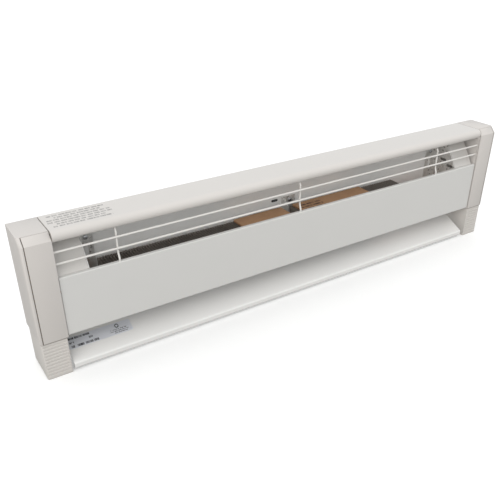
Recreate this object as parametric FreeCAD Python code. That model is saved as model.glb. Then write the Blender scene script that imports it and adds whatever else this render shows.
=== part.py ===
"""Electric hydronic baseboard heater, built from separate pieces.

Millimetres. The origin is on the floor under the middle of the heater. +X runs along the
heater, -Y is the room side, +Y is the wall side and +Z is up.
"""

import FreeCAD, Part
import math
import os

V = FreeCAD.Vector

# Overall sizes
LENGTH = 940.0
HEIGHT = 229.0
DEPTH = 64.0

# Sheet metal
SHEET = 0.8              # painted housing sheet
GALVANISED = 1.2         # element brackets
BOX_STEEL = 1.0          # wiring bulkheads
BEND = 1.6               # centreline radius of a plain sheet bend
FACE_GAP = 0.3           # clearance between parts that come apart

# Air path
COVER_DROP = 17.0        # top face down to the cover's lip
OUTLET_HEIGHT = 52.7     # lip down to the front panel's top edge
PANEL_BOTTOM_Z = 64.5
PANEL_SETBACK = 2.5      # front panel behind the end caps' faces
PANEL_RIM = 6.0
PANEL_END_GAP = 1.2
COVER_END_GAP = 0.6
COVER_SETBACK = 1.4
NOSE_RADIUS = 8.0
LIP_ROLL_RADIUS = 7.8
COVER_HEM = 8.2
BACK_FLANGE = 26.0       # back panel's top flange under the cover
SPARE_SLOT_SHIFT = 15.5  # from the centre bracket
SPARE_SLOT_RISE = 2.5    # above the front panel's top edge
SPARE_SLOT_LENGTH = 11.0
SPARE_SLOT_WIDTH = 2.4
PLUG_LIP = 1.0
PLUG_HEAD = 0.8

# Sloped inlet pan, part of the back panel
PAN_BACK_Z = 44.8
PAN_FRONT_Z = 13.6
PAN_SETBACK = 1.0
LIP_BOTTOM_Z = 4.6
LIP_RETURN = 7.0
LIP_RADIUS = 3.0
PAN_LEFT_GAP = 1.5
PAN_RIGHT_GAP = 8.0

# End caps, feet and access covers
CAP_WIDTH = 42.5
CAP_WALL = 2.5
CAP_INNER_WALL = 2.2
CAP_EDGE = 5.0           # rolled front edge beside the access cover
COVER_SEAM = 0.8         # round the access cover
CREASE_SEAM = 0.2        # between the cover and the cap's top
CAP_CORNER = 4.5
FACET_RUN = 10.0         # sloped facet, along Y
FACET_DROP = 11.0        # sloped facet, along Z
FOOT_HEIGHT = 63.0
FOOT_SIDE_INSET = 2.0
FOOT_FRONT_INSET = 1.4
FOOT_INNER_INSET = 2.2
FOOT_WALL = 2.5
FOOT_CORNER = 3.0
FOOT_TONGUE = 20.0       # rear tongue standing up inside the cap
FOOT_TONGUE_LAP = 8.0
GROOVE_COUNT = 10
GROOVE_PITCH = 5.5
GROOVE_RADIUS = 0.9
GROOVE_FIRST_Z = 7.0
GROOVE_MARGIN = 1.5
CATCH_LENGTH = 8.0
CATCH_WIDTH = 12.0
CATCH_THICKNESS = 1.8
CATCH_INSET = 26.0
CAP_LUG_RISE = 90.0
CAP_LUG_DROP = 22.0

# Outlet guard
ROD_RADIUS = 1.6
ROD_SETBACK = 5.8
ROD_UPPER_DROP = 31.1    # below the top face
ROD_LOWER_DROP = 49.1
ROD_HOLE_GAP = 0.3
STRUT_RADIUS = 1.5
STRUT_WELD = 0.2
STRUT_BEND = 3.0
STRUT_FROM_LEFT = 45.5   # from the left bracket
STRUT_FROM_RIGHT = 59.0  # from the right bracket
STRUT_CENTRE_SHIFT = 2.0

# Heating element
TUBE_RADIUS = 11.1
TUBE_WALL = 0.9
FIN_WIDTH = 38.0
FIN_HEIGHT = 59.0
FIN_THICKNESS = 0.4
FIN_PITCH = 4.5
FIN_COLLAR_WALL = 0.5
FIN_CORNER = 1.2
FIN_FOLD_GAP = 0.3       # folded edge to the next fin
FIN_TOP_DROP = 7.8       # below the front panel's top edge
FIN_BACK_GAP = 14.2      # behind the fins, to the back panel
LEFT_FIN_GAP = 26.0      # from the left bracket to the first fin
RIGHT_BARE_TUBE = 129.0  # from the last fin to the right bracket
CENTRE_FIN_GAP = 6.5
TUBE_LEFT_TAIL = 22.5    # beyond the left bracket
TUBE_RIGHT_TAIL = 24.0
ROD_HEATER_RADIUS = 5.5
ROD_HEATER_END_GAP = 20.0
FITTING_AF = 27.0
FITTING_HEX = 8.0
FITTING_SPIGOT = 10.0
INSULATOR_RADIUS = 4.6
INSULATOR_LENGTH = 5.0
PIN_RADIUS = 1.0
PIN_LENGTH = 9.0
PIN_SPACING = 4.4
LEAD_RADIUS = 1.7
LEAD_BEND = 8.0
LEAD_DROP = 28.0
LEAD_RUN = 21.0          # from the bulkhead into the wiring space
NUT_RADIUS = 4.6
NUT_TIP_RADIUS = 3.0
NUT_LENGTH = 16.0

# Element brackets and glides
LEFT_BRACKET_INSET = 46.5    # from the end cap to the bracket's web
RIGHT_BRACKET_INSET = 52.0
CENTRE_BRACKET_X = -8.0
BRACKET_BOTTOM_Z = 71.0
BRACKET_BACK_DROP = 39.0     # back flange's top below the heater's top
CENTRE_BACK_DROP = 64.0
BRACKET_FRONT_DROP = 4.5     # front flange's top below the panel's top edge
BACK_FLANGE_WIDTH = 28.0
FRONT_FLANGE_WIDTH = 12.0
BRACKET_SLOT_WIDTH = 7.0
BRACKET_SLOT_LENGTH = 18.0
WEB_SLOT_WIDTH = 5.5
WEB_SLOT_LENGTH = 15.0
WEB_SLOT_RISE = 9.0      # upper slot above the baffle's knee
GLIDE_WALL = 2.4
GLIDE_CLEARANCE = 0.4
GLIDE_LENGTH = 9.0
GLIDE_FLANGE = 2.0
GLIDE_FLANGE_LENGTH = 1.5

# End baffles
BAFFLE_LEG = 18.0
BAFFLE_KNEE_RISE = 0.5   # above the front panel's top edge
BAFFLE_RUN = 25.7
BAFFLE_RISE = 39.2
BAFFLE_BACK_LEG = 14.0
BAFFLE_LEFT_GAP = 0.4
BAFFLE_RIGHT_GAP = 5.5

# Wiring bulkheads
BULKHEAD_GAP = 0.3
BULKHEAD_FLANGE = 14.0
BULKHEAD_BOTTOM_Z = 84.0
BULKHEAD_TOP_DROP = 8.0
BULKHEAD_FRONT_SETBACK = 4.6
GROMMET_HOLE_RADIUS = 9.0
GROMMET_LIP = 2.0
GROMMET_LIP_LENGTH = 1.4
GROMMET_WALL = 1.6

# Wiring and limit control
SUPPLY_HOLE_RADIUS = 11.1
SUPPLY_HOLE_Z = 112.0
SWITCH_SIZE = (22.0, 15.0, 28.0)
CAPILLARY_RADIUS = 1.2
CAPILLARY_SETBACK = 7.8
CAPILLARY_DROP = 14.0    # above the element's axis
CAPILLARY_END_GAP = 46.0
BUSHING_RADIUS = 2.5
BUSHING_LENGTH = 5.0
BUSHING_CLEARANCE = 0.25

# Fasteners
SCREW_RADIUS = 1.9
SCREW_HEAD_RADIUS = 3.6
SCREW_HEAD = 2.2
WALL_HOLE_RADIUS = 3.2
WALL_HOLE_SPACING_X = 600.0
WALL_HOLE_LOW_Z = 85.0
WALL_HOLE_TOP_DROP = 34.0

# Label and packing cards
LABEL_LENGTH = 104.0
LABEL_WIDTH = 21.0
LABEL_THICKNESS = 0.2
LABEL_FROM_END = 1.5
LABEL_BACK = 22.0
CARD_THICKNESS = 3.0
CARD_WIDTH = 35.0
LEFT_CARD_LENGTH = 96.0
RIGHT_CARD_LENGTH = 154.0
LEFT_CARD_GAP = 13.5      # from the centre bracket
RIGHT_CARD_GAP = 10.0

# Worked out from the sizes above
HALF_LENGTH = LENGTH / 2
FRONT_Y = -DEPTH / 2
BACK_Y = DEPTH / 2
INNER_BACK_Y = BACK_Y - SHEET
CAP_X = HALF_LENGTH - CAP_WIDTH
LIP_Z = HEIGHT - COVER_DROP
PANEL_TOP_Z = LIP_Z - OUTLET_HEIGHT
PANEL_Y = FRONT_Y + PANEL_SETBACK
PANEL_INNER_Y = PANEL_Y + SHEET
FIN_TOP_Z = PANEL_TOP_Z - FIN_TOP_DROP
AXIS_Y = INNER_BACK_Y - FIN_BACK_GAP - FIN_WIDTH / 2
AXIS_Z = FIN_TOP_Z - FIN_HEIGHT / 2
LEFT_BRACKET_X = LEFT_BRACKET_INSET - CAP_X
RIGHT_BRACKET_X = CAP_X - RIGHT_BRACKET_INSET
ROD_Y = FRONT_Y + ROD_SETBACK
CAPILLARY_Y = FRONT_Y + CAPILLARY_SETBACK
CAPILLARY_Z = AXIS_Z + CAPILLARY_DROP
GLIDE_BORE = TUBE_RADIUS + GLIDE_CLEARANCE
GLIDE_RADIUS = GLIDE_BORE + GLIDE_WALL
BULKHEAD_X = CAP_X + CAP_INNER_WALL + BULKHEAD_GAP
TAB_X = HALF_LENGTH - CAP_WALL - FACE_GAP
STRUT_XS = (LEFT_BRACKET_X + STRUT_FROM_LEFT, CENTRE_BRACKET_X - STRUT_CENTRE_SHIFT,
            RIGHT_BRACKET_X - STRUT_FROM_RIGHT)
LEADS_Y = (AXIS_Y - PIN_SPACING / 2, AXIS_Y + PIN_SPACING / 2)


def box(x0, y0, z0, x1, y1, z1):
    return Part.makeBox(x1 - x0, y1 - y0, z1 - z0, V(x0, y0, z0))


def cylinder(radius, start, direction, length):
    return Part.makeCylinder(radius, length, V(*start), V(*direction))


def ring(outer, inner, start, direction, length):
    return cylinder(outer, start, direction, length).cut(cylinder(inner, start, direction, length))


def fuse(shapes):
    joined = shapes[0].fuse(shapes[1:]) if len(shapes) > 1 else shapes[0]
    return joined.removeSplitter()


def mirrored(shape):
    return shape.mirror(V(0, 0, 0), V(1, 0, 0))


def prism(points, x0, x1):
    """A straight-sided outline in (y, z), extruded from x0 to x1."""
    corners = [V(x0, y, z) for y, z in points]
    face = Part.Face(Part.makePolygon(corners + corners[:1]))
    return face.extrude(V(x1 - x0, 0, 0))


def bent_sheet(points, thickness, radii, x0, x1):
    """A bent sheet: the centreline in (y, z) has one bend radius for each inner point."""
    path = [V(x0, y, z) for y, z in points]
    directions = [(b - a).normalize() for a, b in zip(path, path[1:])]
    sides = ([], [])
    starts = [path[0], path[0]]
    for side, sign in enumerate((1, -1)):
        offset = sign * thickness / 2
        here = path[0] + normal(directions[0]) * offset
        starts[side] = here
        for corner, radius, before, after in zip(path[1:], radii, directions, directions[1:]):
            turn = before.getAngle(after)
            reach = radius * math.tan(turn / 2)
            bend_sign = 1 if normal(before).dot(after) > 0 else -1
            centre = corner - before * reach + normal(before) * radius * bend_sign
            own_radius = radius - offset * bend_sign
            middle = (corner - centre).normalize()
            enter = centre - normal(before) * bend_sign * own_radius
            leave = centre - normal(after) * bend_sign * own_radius
            sides[side].append(Part.LineSegment(here, enter).toShape())
            sides[side].append(Part.Arc(enter, centre + middle * own_radius, leave).toShape())
            here = leave
        end = path[-1] + normal(directions[-1]) * offset
        sides[side].append(Part.LineSegment(here, end).toShape())
        starts.append(end)
    caps = [Part.LineSegment(starts[0], starts[1]).toShape(),
            Part.LineSegment(starts[2], starts[3]).toShape()]
    wire = Part.Wire(Part.__sortEdges__(sides[0] + sides[1] + caps))
    return Part.Face(wire).extrude(V(x1 - x0, 0, 0))


def normal(direction):
    """The sheet's side direction: a quarter turn of a direction in the YZ plane."""
    return V(0, -direction.z, direction.y)


def wire_rod(points, radius, bend):
    """A round rod along points, with every inner corner rounded to the bend radius."""
    path = [V(*point) for point in points]
    edges = []
    here = path[0]
    for before, corner, after in zip(path, path[1:], path[2:]):
        towards = (corner - before).normalize()
        away = (after - corner).normalize()
        half_turn = towards.getAngle(away) / 2
        reach = bend * math.tan(half_turn)
        enter = corner - towards * reach
        leave = corner + away * reach
        centre_way = (away - towards).normalize()
        centre = corner + centre_way * (bend / math.cos(half_turn))
        edges.append(Part.LineSegment(here, enter).toShape())
        edges.append(Part.Arc(enter, centre - centre_way * bend, leave).toShape())
        here = leave
    edges.append(Part.LineSegment(here, path[-1]).toShape())
    start_way = path[1] - path[0]
    profile = Part.Wire(Part.makeCircle(radius, path[0], start_way))
    return Part.Wire(edges).makePipeShell([profile], True, False)


def slot_x(x, z, length, width, y0, y1):
    """A cutter for an oval slot that lies along X and goes through in Y."""
    half = (length - width) / 2
    ends = [cylinder(width / 2, (x + side * half, y0, z), (0, 1, 0), y1 - y0) for side in (-1, 1)]
    return fuse(ends + [box(x - half, y0, z - width / 2, x + half, y1, z + width / 2)])


def slot_z(x, z, length, width, y0, y1):
    """A cutter for an oval slot that stands along Z and goes through in Y."""
    half = (length - width) / 2
    ends = [cylinder(width / 2, (x, y0, z + side * half), (0, 1, 0), y1 - y0) for side in (-1, 1)]
    return fuse(ends + [box(x - width / 2, y0, z - half, x + width / 2, y1, z + half)])


def slot_y(x0, x1, y, z, length, width):
    """A cutter for an oval slot that lies along Y and goes through in X."""
    half = (length - width) / 2
    ends = [cylinder(width / 2, (x0, y + side * half, z), (1, 0, 0), x1 - x0) for side in (-1, 1)]
    return fuse(ends + [box(x0, y - half, z - width / 2, x1, y + half, z + width / 2)])


def pan_screw(head_centre, direction, shank):
    """A pan-head screw: the head's seat is at head_centre and the shank runs along direction."""
    way = V(*direction)
    seat = V(*head_centre)
    body = Part.makeCylinder(SCREW_RADIUS, shank, seat, way)
    head = Part.makeCylinder(SCREW_HEAD_RADIUS, SCREW_HEAD, seat, way * -1)
    top = head.Edges
    rim = [e for e in top if abs((e.BoundBox.Center - seat).dot(way) + SCREW_HEAD) < 0.01
           and e.Curve.TypeId == "Part::GeomCircle"]
    head = head.makeFillet(SCREW_HEAD * 0.45, rim)
    groove = cylinder(SCREW_RADIUS * 0.55, tuple(seat - way * (SCREW_HEAD + 1)), direction, 2.0)
    return fuse([body, head.cut(groove)])


# Housing sheets

def wall_hole_centres():
    zs = (WALL_HOLE_LOW_Z, HEIGHT - WALL_HOLE_TOP_DROP)
    return [(side * WALL_HOLE_SPACING_X / 2, z) for side in (-1, 1) for z in zs]


def pan_line():
    """Front and back corners of the pan's centreline in (y, z)."""
    front = (FRONT_Y + PAN_SETBACK + SHEET / 2, PAN_FRONT_Z)
    back = (BACK_Y - SHEET / 2, PAN_BACK_Z)
    return front, back


def back_panel():
    half = SHEET / 2
    flange_z = HEIGHT - SHEET - half
    front, back = pan_line()
    left = -CAP_X + PAN_LEFT_GAP
    right = CAP_X - PAN_RIGHT_GAP
    lower = [(back[0], PAN_BACK_Z + 30), back, front, (front[0], LIP_BOTTOM_Z + half),
             (front[0] + LIP_RETURN, LIP_BOTTOM_Z + half)]
    upper = [(BACK_Y - BACK_FLANGE, flange_z), (back[0], flange_z), (back[0], PAN_BACK_Z + 20)]
    pan = bent_sheet(lower, SHEET, [BEND, LIP_RADIUS, BEND], left, right)
    flange = bent_sheet(upper, SHEET, [BEND], -CAP_X + PANEL_END_GAP, CAP_X - PANEL_END_GAP)
    wall = box(-TAB_X, INNER_BACK_Y, PAN_BACK_Z + 20, TAB_X, BACK_Y, HEIGHT - CAP_WALL - FACE_GAP)
    foot_x = CAP_X + FOOT_INNER_INSET
    tab_bottom = FOOT_WALL + FACE_GAP + 6
    tabs = [box(foot_x, INNER_BACK_Y, tab_bottom, HALF_LENGTH - FOOT_SIDE_INSET - FOOT_WALL, BACK_Y,
                PAN_BACK_Z + 21)]
    tabs.append(mirrored(tabs[0]))
    panel = fuse([pan, flange, wall] + tabs)
    through = (INNER_BACK_Y - 1, BACK_Y + 1)
    cutters = [cylinder(WALL_HOLE_RADIUS, (x, through[0], z), (0, 1, 0), through[1] - through[0])
               for x, z in wall_hole_centres()]
    for side in (-1, 1):
        x = side * supply_hole_x()
        cutters.append(cylinder(SUPPLY_HOLE_RADIUS, (x, through[0], SUPPLY_HOLE_Z), (0, 1, 0),
                                through[1] - through[0]))
    cutters.append(spare_slot(*through))
    for seat in screw_seats():
        cutters.append(cylinder(SCREW_RADIUS, (seat[0], through[0], seat[2]), (0, 1, 0),
                                through[1] - through[0]))
    return panel.cut(cutters)


def spare_slot(y0, y1):
    """The oval slot beside the centre bracket, as a solid from y0 to y1."""
    return slot_x(CENTRE_BRACKET_X - SPARE_SLOT_SHIFT, PANEL_TOP_Z + SPARE_SLOT_RISE,
                  SPARE_SLOT_LENGTH, SPARE_SLOT_WIDTH, y0, y1)


def slot_plug():
    """A snap-in plug: a stem that fills the spare slot and a thin head inside the heater."""
    head = slot_x(CENTRE_BRACKET_X - SPARE_SLOT_SHIFT, PANEL_TOP_Z + SPARE_SLOT_RISE,
                  SPARE_SLOT_LENGTH + 2 * PLUG_LIP, SPARE_SLOT_WIDTH + 2 * PLUG_LIP,
                  INNER_BACK_Y - PLUG_HEAD, INNER_BACK_Y)
    return fuse([head, spare_slot(INNER_BACK_Y, BACK_Y)])


def top_cover():
    half = SHEET / 2
    nose_y = FRONT_Y + COVER_SETBACK + half
    points = [(BACK_Y, HEIGHT - half), (nose_y, HEIGHT - half), (nose_y, LIP_Z + half),
              (nose_y + COVER_HEM, LIP_Z + half)]
    return bent_sheet(points, SHEET, [NOSE_RADIUS, LIP_ROLL_RADIUS], -CAP_X + COVER_END_GAP,
                      CAP_X - COVER_END_GAP)


def front_panel():
    half = SHEET / 2
    y = PANEL_Y + half
    rim_y = PANEL_Y + PANEL_RIM
    points = [(rim_y, PANEL_TOP_Z - half), (y, PANEL_TOP_Z - half), (y, PANEL_BOTTOM_Z + half),
              (rim_y, PANEL_BOTTOM_Z + half)]
    return bent_sheet(points, SHEET, [BEND, BEND], -CAP_X + PANEL_END_GAP, CAP_X - PANEL_END_GAP)


# Outlet guard

def guard_rods():
    reach = CAP_X + CAP_INNER_WALL - 0.1
    return [cylinder(ROD_RADIUS, (-reach, ROD_Y, HEIGHT - drop), (1, 0, 0), 2 * reach)
            for drop in (ROD_UPPER_DROP, ROD_LOWER_DROP)]


def guard_strut(x):
    y = ROD_Y + ROD_RADIUS + STRUT_RADIUS - STRUT_WELD
    rim_y = PANEL_Y + 2.6
    lower_z = HEIGHT - ROD_LOWER_DROP
    upper_z = HEIGHT - ROD_UPPER_DROP
    points = [(x, rim_y, PANEL_TOP_Z), (x, rim_y, PANEL_TOP_Z + 4), (x, y, lower_z - 7),
              (x, y, upper_z + 7), (x, y + 9, HEIGHT - 9), (x, y + 9, HEIGHT - SHEET)]
    return wire_rod(points, STRUT_RADIUS, STRUT_BEND)


# End caps, access covers and feet

def cap_envelope():
    """The right end's outer block, from the top of the foot up."""
    crease_y = FRONT_Y + FACET_RUN
    outline = [(BACK_Y, FOOT_HEIGHT), (BACK_Y, HEIGHT), (crease_y, HEIGHT),
               (FRONT_Y, HEIGHT - FACET_DROP), (FRONT_Y, FOOT_HEIGHT)]
    block = prism(outline, CAP_X, HALF_LENGTH)
    rounded = [e for e in block.Edges if on_outer_front(e)]
    return block.makeFillet(CAP_CORNER, rounded)


def on_outer_front(edge):
    """Edges of the outer side that the cap rounds: its front, its facet and its bottom."""
    box_ = edge.BoundBox
    outer = box_.XMin > HALF_LENGTH - 0.01
    front = box_.YMax < FRONT_Y + FACET_RUN + 0.01
    bottom = box_.ZMax < FOOT_HEIGHT + 0.01 and box_.YLength > DEPTH / 2
    return outer and (front or bottom)


def cap_hollow():
    """The space inside the cap: its front follows the facet one wall behind it."""
    slope = math.atan2(FACET_DROP, FACET_RUN)
    inner_front = FRONT_Y + CAP_WALL
    shift = CAP_WALL * math.tan(math.pi / 4 - slope / 2)
    crease_shift = CAP_WALL * math.tan(slope / 2)
    crease_y = FRONT_Y + FACET_RUN + crease_shift
    outline = [(BACK_Y + 1, FOOT_HEIGHT - 1), (BACK_Y + 1, HEIGHT - CAP_WALL),
               (crease_y, HEIGHT - CAP_WALL), (inner_front, HEIGHT - FACET_DROP - shift),
               (inner_front, FOOT_HEIGHT - 1)]
    return prism(outline, CAP_X + CAP_INNER_WALL, HALF_LENGTH - CAP_WALL)


def cover_zone(gap, crease_gap):
    """The block that the access cover is cut from, grown by its gaps."""
    inner = CAP_X - 1
    outer = HALF_LENGTH - CAP_EDGE + gap
    crease_y = FRONT_Y + FACET_RUN + crease_gap
    depth_y = FRONT_Y + CAP_WALL + gap
    bottom = FOOT_HEIGHT - 1 if gap == 0 else FOOT_HEIGHT - gap
    outline = [(FRONT_Y - 1, bottom), (depth_y, bottom),
               (depth_y, HEIGHT - FACET_DROP - CAP_WALL), (crease_y, HEIGHT - CAP_WALL - gap - 1.5),
               (crease_y, HEIGHT + 1), (FRONT_Y - 1, HEIGHT + 1)]
    return prism(outline, inner, outer)


def end_cap():
    """The right end cap: outer side, top, inner side and the lugs for its screws."""
    shell = cap_envelope().cut(cap_hollow()).cut(cover_zone(0.0, 0.0))
    back_room = box(CAP_X - 1, INNER_BACK_Y, FOOT_HEIGHT - 1, HALF_LENGTH - CAP_WALL, BACK_Y + 1,
                    HEIGHT - CAP_WALL)
    shell = shell.cut(back_room)
    ribs = [box(HALF_LENGTH - CAP_EDGE + FACE_GAP, FRONT_Y + CAP_WALL + CATCH_LENGTH - 5.0,
                z - CATCH_WIDTH / 2, HALF_LENGTH - CAP_WALL + 0.5,
                FRONT_Y + CAP_WALL + CATCH_LENGTH - 3.0, z + CATCH_WIDTH / 2)
            for z in catch_zs()]
    lugs = [box(HALF_LENGTH - CAP_WALL - 11, INNER_BACK_Y - CAP_WALL, z - 7,
                HALF_LENGTH - CAP_WALL + 0.5, INNER_BACK_Y, z + 7) for z in cap_lug_zs()]
    shell = fuse([shell] + lugs + ribs)
    cutters = [cylinder(SCREW_RADIUS, (cap_lug_x(), BACK_Y - 20, z), (0, 1, 0), 30)
               for z in cap_lug_zs()]
    for drop in (ROD_UPPER_DROP, ROD_LOWER_DROP):
        cutters.append(cylinder(ROD_RADIUS + ROD_HOLE_GAP, (CAP_X - 1, ROD_Y, HEIGHT - drop),
                                (1, 0, 0), CAP_INNER_WALL + 2))
    return shell.cut(cutters)


def left_end_cap():
    wall_end = CAP_X + CAP_INNER_WALL + 1
    cutters = [cylinder(GROMMET_HOLE_RADIUS, (-wall_end, AXIS_Y, AXIS_Z), (1, 0, 0), 6),
               cylinder(BUSHING_RADIUS + 1, (-wall_end, CAPILLARY_Y, CAPILLARY_Z), (1, 0, 0), 6)]
    return mirrored(end_cap()).cut(cutters)


def cap_lug_zs():
    return (FOOT_HEIGHT + CAP_LUG_RISE, HEIGHT - CAP_LUG_DROP)


def cap_lug_x():
    return HALF_LENGTH - CAP_WALL - 6


def access_cover():
    """The right snap-off cover: front face, sloped facet and two catches."""
    body = cap_envelope().cut(cap_hollow()).common(cover_zone(-COVER_SEAM, -CREASE_SEAM))
    catches = []
    arm_y = FRONT_Y + CAP_WALL - COVER_SEAM - 0.5
    for z in catch_zs():
        outer = HALF_LENGTH - CAP_EDGE - 1.0
        arm = box(outer - CATCH_THICKNESS, arm_y, z - CATCH_WIDTH / 2, outer,
                  FRONT_Y + CAP_WALL + CATCH_LENGTH, z + CATCH_WIDTH / 2)
        hook_y = FRONT_Y + CAP_WALL + CATCH_LENGTH
        hook = box(outer - 0.2, hook_y - 2.5, z - CATCH_WIDTH / 2, outer + 0.9, hook_y,
                   z + CATCH_WIDTH / 2)
        catches += [arm, hook]
    return fuse([body] + catches)


def catch_zs():
    return (FOOT_HEIGHT + CATCH_INSET, HEIGHT - FACET_DROP - CATCH_INSET)


def foot():
    """The right foot: a thin shell with a ribbed front and a rear tongue for its screws."""
    x0 = CAP_X + FOOT_INNER_INSET
    x1 = HALF_LENGTH - FOOT_SIDE_INSET
    y0 = FRONT_Y + FOOT_FRONT_INSET
    block = box(x0, y0, 0, x1, INNER_BACK_Y, FOOT_HEIGHT)
    edges = [e for e in block.Edges if e.BoundBox.YMax < y0 + 0.01 and e.BoundBox.ZLength > 5
             and e.BoundBox.XMin > x1 - 0.01]
    edges += [e for e in block.Edges if e.BoundBox.ZMax < 0.01 and e.BoundBox.XMin > x1 - 0.01]
    block = block.makeFillet(FOOT_CORNER, edges)
    hollow = box(x0 + FOOT_WALL, y0 + FOOT_WALL, FOOT_WALL, x1 - FOOT_WALL, INNER_BACK_Y + 1,
                 FOOT_HEIGHT + 1)
    shell = block.cut(hollow)
    groove_length = x1 - x0 - 2 * GROOVE_MARGIN
    grooves = [cylinder(GROOVE_RADIUS, (x0 + GROOVE_MARGIN, y0, GROOVE_FIRST_Z + n * GROOVE_PITCH),
                        (1, 0, 0), groove_length) for n in range(GROOVE_COUNT)]
    shell = shell.cut(grooves)
    tongue = box(x0 + 4, INNER_BACK_Y - FOOT_WALL, FOOT_HEIGHT - FOOT_TONGUE_LAP, x1 - 4,
                 INNER_BACK_Y, FOOT_HEIGHT + FOOT_TONGUE)
    web = box(x0 + 1, INNER_BACK_Y - FOOT_WALL, FOOT_HEIGHT - FOOT_TONGUE_LAP, x1 - 1,
              INNER_BACK_Y, FOOT_HEIGHT)
    shell = fuse([shell, tongue, web])
    holes = [cylinder(SCREW_RADIUS, (x, BACK_Y - 20, z), (0, 1, 0), 30)
             for x, z in foot_screw_places()]
    return shell.cut(holes)


def foot_screw_places():
    middle = CAP_X + CAP_WIDTH / 2
    return [(middle + side * 8, FOOT_HEIGHT + 11) for side in (-1, 1)]


# Element brackets, glides and baffles

def bracket(web_x, way, back_drop, closed):
    """A galvanised bracket: a web across the heater, with flanges that run along it.

    A closed bracket's web rises behind the baffle and has a round hole for the tube. An open one
    is low, with a throat that the tube drops into.
    """
    back_top = HEIGHT - back_drop
    front_top = PANEL_TOP_Z - BRACKET_FRONT_DROP
    x0, x1 = sorted((web_x, web_x + way * GALVANISED))
    front = [(PANEL_INNER_Y, front_top), (PANEL_INNER_Y, BRACKET_BOTTOM_Z)]
    cutters = [cylinder(GLIDE_RADIUS, (x0 - 1, AXIS_Y, AXIS_Z), (1, 0, 0), GALVANISED + 2),
               cylinder(BUSHING_RADIUS, (x0 - 1, CAPILLARY_Y, CAPILLARY_Z), (1, 0, 0),
                        GALVANISED + 2)]
    if closed:
        leg_y, knee, crest_y, crest = baffle_line()
        outline = [(INNER_BACK_Y, crest), (crest_y, crest), (leg_y, knee), (leg_y, front_top)]
        cutters += [slot_y(x0 - 1, x1 + 1, y, z, WEB_SLOT_LENGTH, WEB_SLOT_WIDTH)
                    for y, z in web_slot_places()]
    else:
        outline = [(INNER_BACK_Y, back_top), (INNER_BACK_Y - 9, back_top),
                   (AXIS_Y + GLIDE_RADIUS + 3, front_top)]
        cutters.append(box(x0 - 1, AXIS_Y - GLIDE_RADIUS, AXIS_Z, x1 + 1, AXIS_Y + GLIDE_RADIUS,
                           HEIGHT))
    web = prism([(INNER_BACK_Y, BRACKET_BOTTOM_Z)] + outline + front, x0, x1).cut(cutters)
    far_back = sorted((web_x, web_x + way * BACK_FLANGE_WIDTH))
    far_front = sorted((web_x, web_x + way * FRONT_FLANGE_WIDTH))
    back = box(far_back[0], INNER_BACK_Y - GALVANISED, BRACKET_BOTTOM_Z, far_back[1],
               INNER_BACK_Y, back_top)
    front = box(far_front[0], PANEL_INNER_Y, BRACKET_BOTTOM_Z, far_front[1],
                PANEL_INNER_Y + GALVANISED, front_top)
    body = fuse([web, back, front])
    slot_centre = web_x + way * BACK_FLANGE_WIDTH * 0.6
    cut_y = (INNER_BACK_Y - GALVANISED - 1, INNER_BACK_Y + 1)
    slots = [slot_z(slot_centre, z, BRACKET_SLOT_LENGTH, BRACKET_SLOT_WIDTH, *cut_y)
             for z in bracket_slot_zs(back_top)]
    holes = [cylinder(SCREW_RADIUS, (slot_centre, cut_y[0], z), (0, 1, 0), 10)
             for z in bracket_screw_zs(back_top)]
    return body.cut(slots + holes)


def web_slot_places():
    """Centres of the two oval slots in an end bracket's web, as (y, z)."""
    leg_y, knee, crest_y, crest = baffle_line()
    return [(crest_y + 5.0, knee + WEB_SLOT_RISE), (leg_y + 13.0, knee)]


def bracket_slot_zs(back_top):
    return (back_top - 30, BRACKET_BOTTOM_Z + 36)


def bracket_screw_zs(back_top):
    return (back_top - 8, BRACKET_BOTTOM_Z + 12)


def brackets():
    """Each bracket's web place, the way its flanges run, its back flange's drop and its kind."""
    return {"left_element_bracket": (LEFT_BRACKET_X, 1, BRACKET_BACK_DROP, True),
            "centre_element_bracket": (CENTRE_BRACKET_X, 1, CENTRE_BACK_DROP, False),
            "right_element_bracket": (RIGHT_BRACKET_X, -1, BRACKET_BACK_DROP, True)}


def glide(web_x, way, closed):
    """A plastic ring, or an open saddle, that lines the bracket and lets the tube slide."""
    middle = web_x + way * GALVANISED / 2
    x0 = middle - GLIDE_LENGTH / 2
    sleeve = cylinder(GLIDE_RADIUS, (x0, AXIS_Y, AXIS_Z), (1, 0, 0), GLIDE_LENGTH)
    lips = [cylinder(GLIDE_RADIUS + GLIDE_FLANGE, (x, AXIS_Y, AXIS_Z), (1, 0, 0),
                     GLIDE_FLANGE_LENGTH)
            for x in (middle - GALVANISED / 2 - GLIDE_FLANGE_LENGTH, middle + GALVANISED / 2)]
    body = fuse([sleeve] + lips)
    body = body.cut(cylinder(GLIDE_BORE, (x0 - 1, AXIS_Y, AXIS_Z), (1, 0, 0), GLIDE_LENGTH + 2))
    if closed:
        return body
    mouth = box(x0 - 1, AXIS_Y - GLIDE_BORE, AXIS_Z, x0 + GLIDE_LENGTH + 1, AXIS_Y + GLIDE_BORE,
                AXIS_Z + GLIDE_RADIUS * 2)
    rim = box(x0 - 1, AXIS_Y - GLIDE_RADIUS * 2, AXIS_Z + GLIDE_RADIUS * 0.75, x0 + GLIDE_LENGTH + 1,
              AXIS_Y + GLIDE_RADIUS * 2, AXIS_Z + GLIDE_RADIUS * 2)
    return body.cut([mouth, rim])


def baffle_line():
    """The baffle's slope on its centreline: the front leg's y, the knee, the crest's y and z."""
    leg_y = PANEL_Y + PANEL_RIM + FACE_GAP + SHEET / 2
    knee = PANEL_TOP_Z + BAFFLE_KNEE_RISE
    return leg_y, knee, leg_y + BAFFLE_RUN, knee + BAFFLE_RISE


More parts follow.
